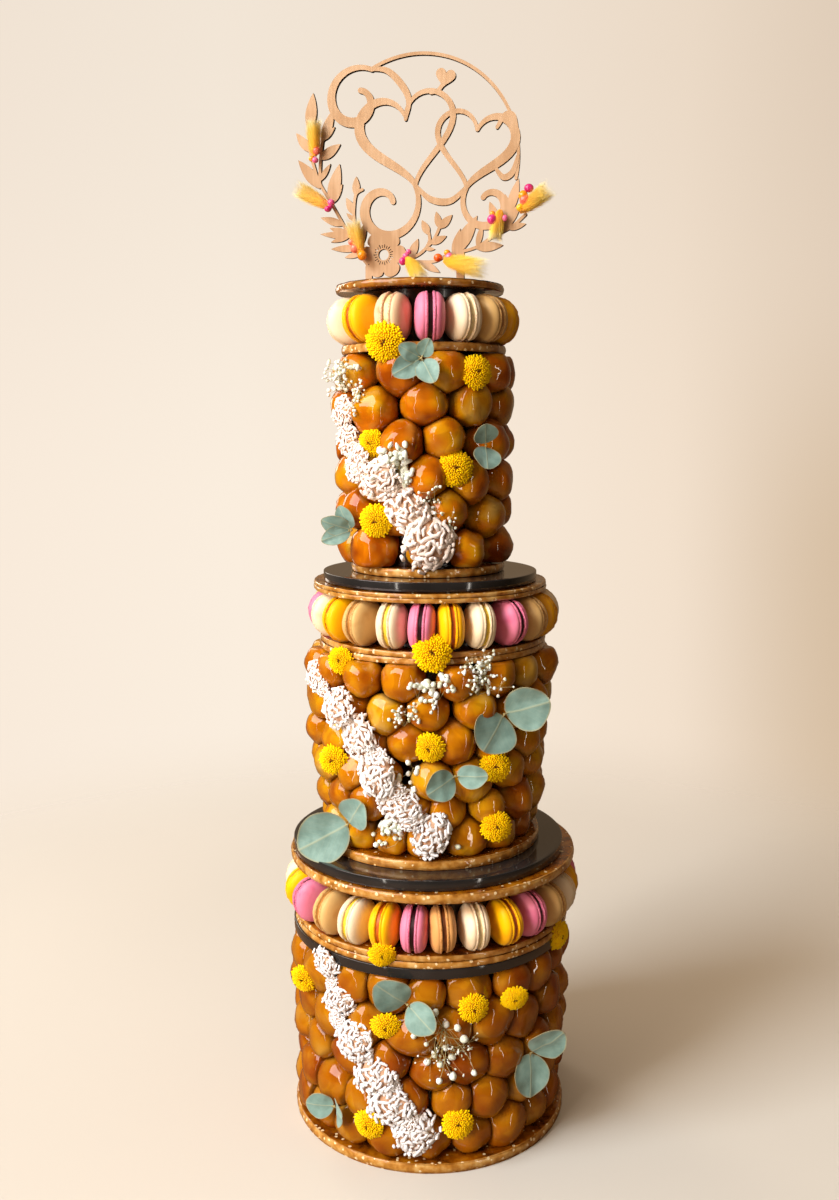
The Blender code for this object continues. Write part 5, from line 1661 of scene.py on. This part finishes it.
def surroundings():
    """The background, with its own light for matt surfaces and its own for gloss."""
    world = bpy.data.worlds.new("studio")
    bpy.context.scene.world = world
    world.use_nodes = True
    tree = world.node_tree
    tree.nodes.clear()
    way = put(tree, "ShaderNodeTexCoord").outputs["Generated"]
    apart = put(tree, "ShaderNodeSeparateXYZ", inputs={0: way})
    # the backdrop the camera sees is painted darker towards the right and upwards, with a painted
    # shadow low on the right
    across = put(tree, "ShaderNodeMapRange", inputs={"Value": apart.outputs["X"], 1: -0.45,
                                                     2: 0.45, 3: 0.0, 4: 1.0})
    wall = put(tree, "ShaderNodeValToRGB", inputs={"Fac": across.outputs["Result"]},
               stops=((0.0, "#f8e9d9"), (0.32, "#fbeede"), (0.60, "#f7e7d5"), (0.72, "#f3e1cd"),
                      (0.80, "#ebd8c3"), (1.0, "#dac4ad"))).outputs["Color"]
    right = put(tree, "ShaderNodeMapRange", {"interpolation_type": "SMOOTHSTEP"},
                {"Value": apart.outputs["X"], 1: 0.20, 2: 0.36, 3: 0.0, 4: 0.8}).outputs["Result"]
    low = put(tree, "ShaderNodeMapRange", {"interpolation_type": "SMOOTHSTEP"},
              {"Value": apart.outputs["Z"], 1: -0.12, 2: 0.14, 3: 1.0, 4: 0.0}).outputs["Result"]
    shaded = put(tree, "ShaderNodeMath", {"operation": "MULTIPLY"}, {0: right, 1: low}).outputs[0]
    wall = put(tree, "ShaderNodeMix", {"data_type": "RGBA"},
               {0: shaded, 6: wall, 7: colour("#d2b99b")}).outputs[2]
    fall = put(tree, "ShaderNodeMapRange", {"interpolation_type": "SMOOTHSTEP"},
               {"Value": apart.outputs["Z"], 1: -0.1, 2: 0.35, 3: 1.0, 4: 0.92})
    seen = put(tree, "ShaderNodeBackground", inputs={"Color": wall,
                                                     "Strength": fall.outputs["Result"]})
    path = put(tree, "ShaderNodeLightPath")
    aside = put(tree, "ShaderNodeMapRange", inputs={"Value": apart.outputs["X"], 1: -1.0,
                                                    2: 0.7, 3: 0.85, 4: 0.0})
    overhead = put(tree, "ShaderNodeMapRange", inputs={"Value": apart.outputs["Z"], 1: 0.3,
                                                       2: 1.0, 3: 0.0, 4: 0.5})
    sky = put(tree, "ShaderNodeMath", {"operation": "ADD"},
              {0: aside.outputs["Result"], 1: overhead.outputs["Result"]}).outputs[0]
    lit = put(tree, "ShaderNodeBackground", inputs={"Color": colour("#f4d9bb"),
                                                    "Strength": sky})
    behind = put(tree, "ShaderNodeMapRange", inputs={"Value": apart.outputs["Y"], 1: 0.0,
                                                     2: 0.8, 3: 0.06, 4: 0.34})
    mirrored = put(tree, "ShaderNodeBackground", inputs={"Color": colour("#d8b48c"),
                                                         "Strength": behind.outputs["Result"]})
    around = put(tree, "ShaderNodeMixShader", inputs={0: path.outputs["Is Glossy Ray"],
                                                      1: lit.outputs[0], 2: mirrored.outputs[0]})
    both = put(tree, "ShaderNodeMixShader", inputs={0: path.outputs["Is Camera Ray"],
                                                    1: around.outputs[0], 2: seen.outputs[0]})
    put(tree, "ShaderNodeOutputWorld", inputs={"Surface": both.outputs[0]})


def lamps():
    """Area lamps. Gloss does not mirror the softboxes, and matt surfaces take no light from the
    strips and the reflection."""
    for name, place, size, power, shade in LAMPS:
        lamp = bpy.data.lights.new(name, "AREA")
        lamp.shape = "RECTANGLE"
        lamp.size, lamp.size_y = size
        lamp.energy = power
        lamp.color = colour(shade)[:3]
        held = bpy.data.objects.new(name, lamp)
        held.location = place
        held.rotation_euler = (Vector(LAMP_TARGET) - Vector(place)).to_track_quat("-Z", "Y").to_euler()
        held.visible_glossy = not name.endswith("softbox")
        held.visible_diffuse = name.endswith(("softbox", "panel"))
        bpy.context.scene.collection.objects.link(held)


def viewpoint():
    view = bpy.data.cameras.new("camera")
    view.lens = CAMERA_LENS
    view.sensor_width = CAMERA_SENSOR
    view.clip_end = CAMERA_SEES_TO
    camera = bpy.data.objects.new("camera", view)
    camera.location = CAMERA_PLACE
    camera.rotation_euler = (math.radians(90 - CAMERA_DOWN), 0, math.radians(CAMERA_TURN))
    bpy.context.scene.collection.objects.link(camera)
    bpy.context.scene.camera = camera
    bpy.context.scene.view_settings.view_transform = "Standard"


build()
table_top()
surroundings()
lamps()
viewpoint()
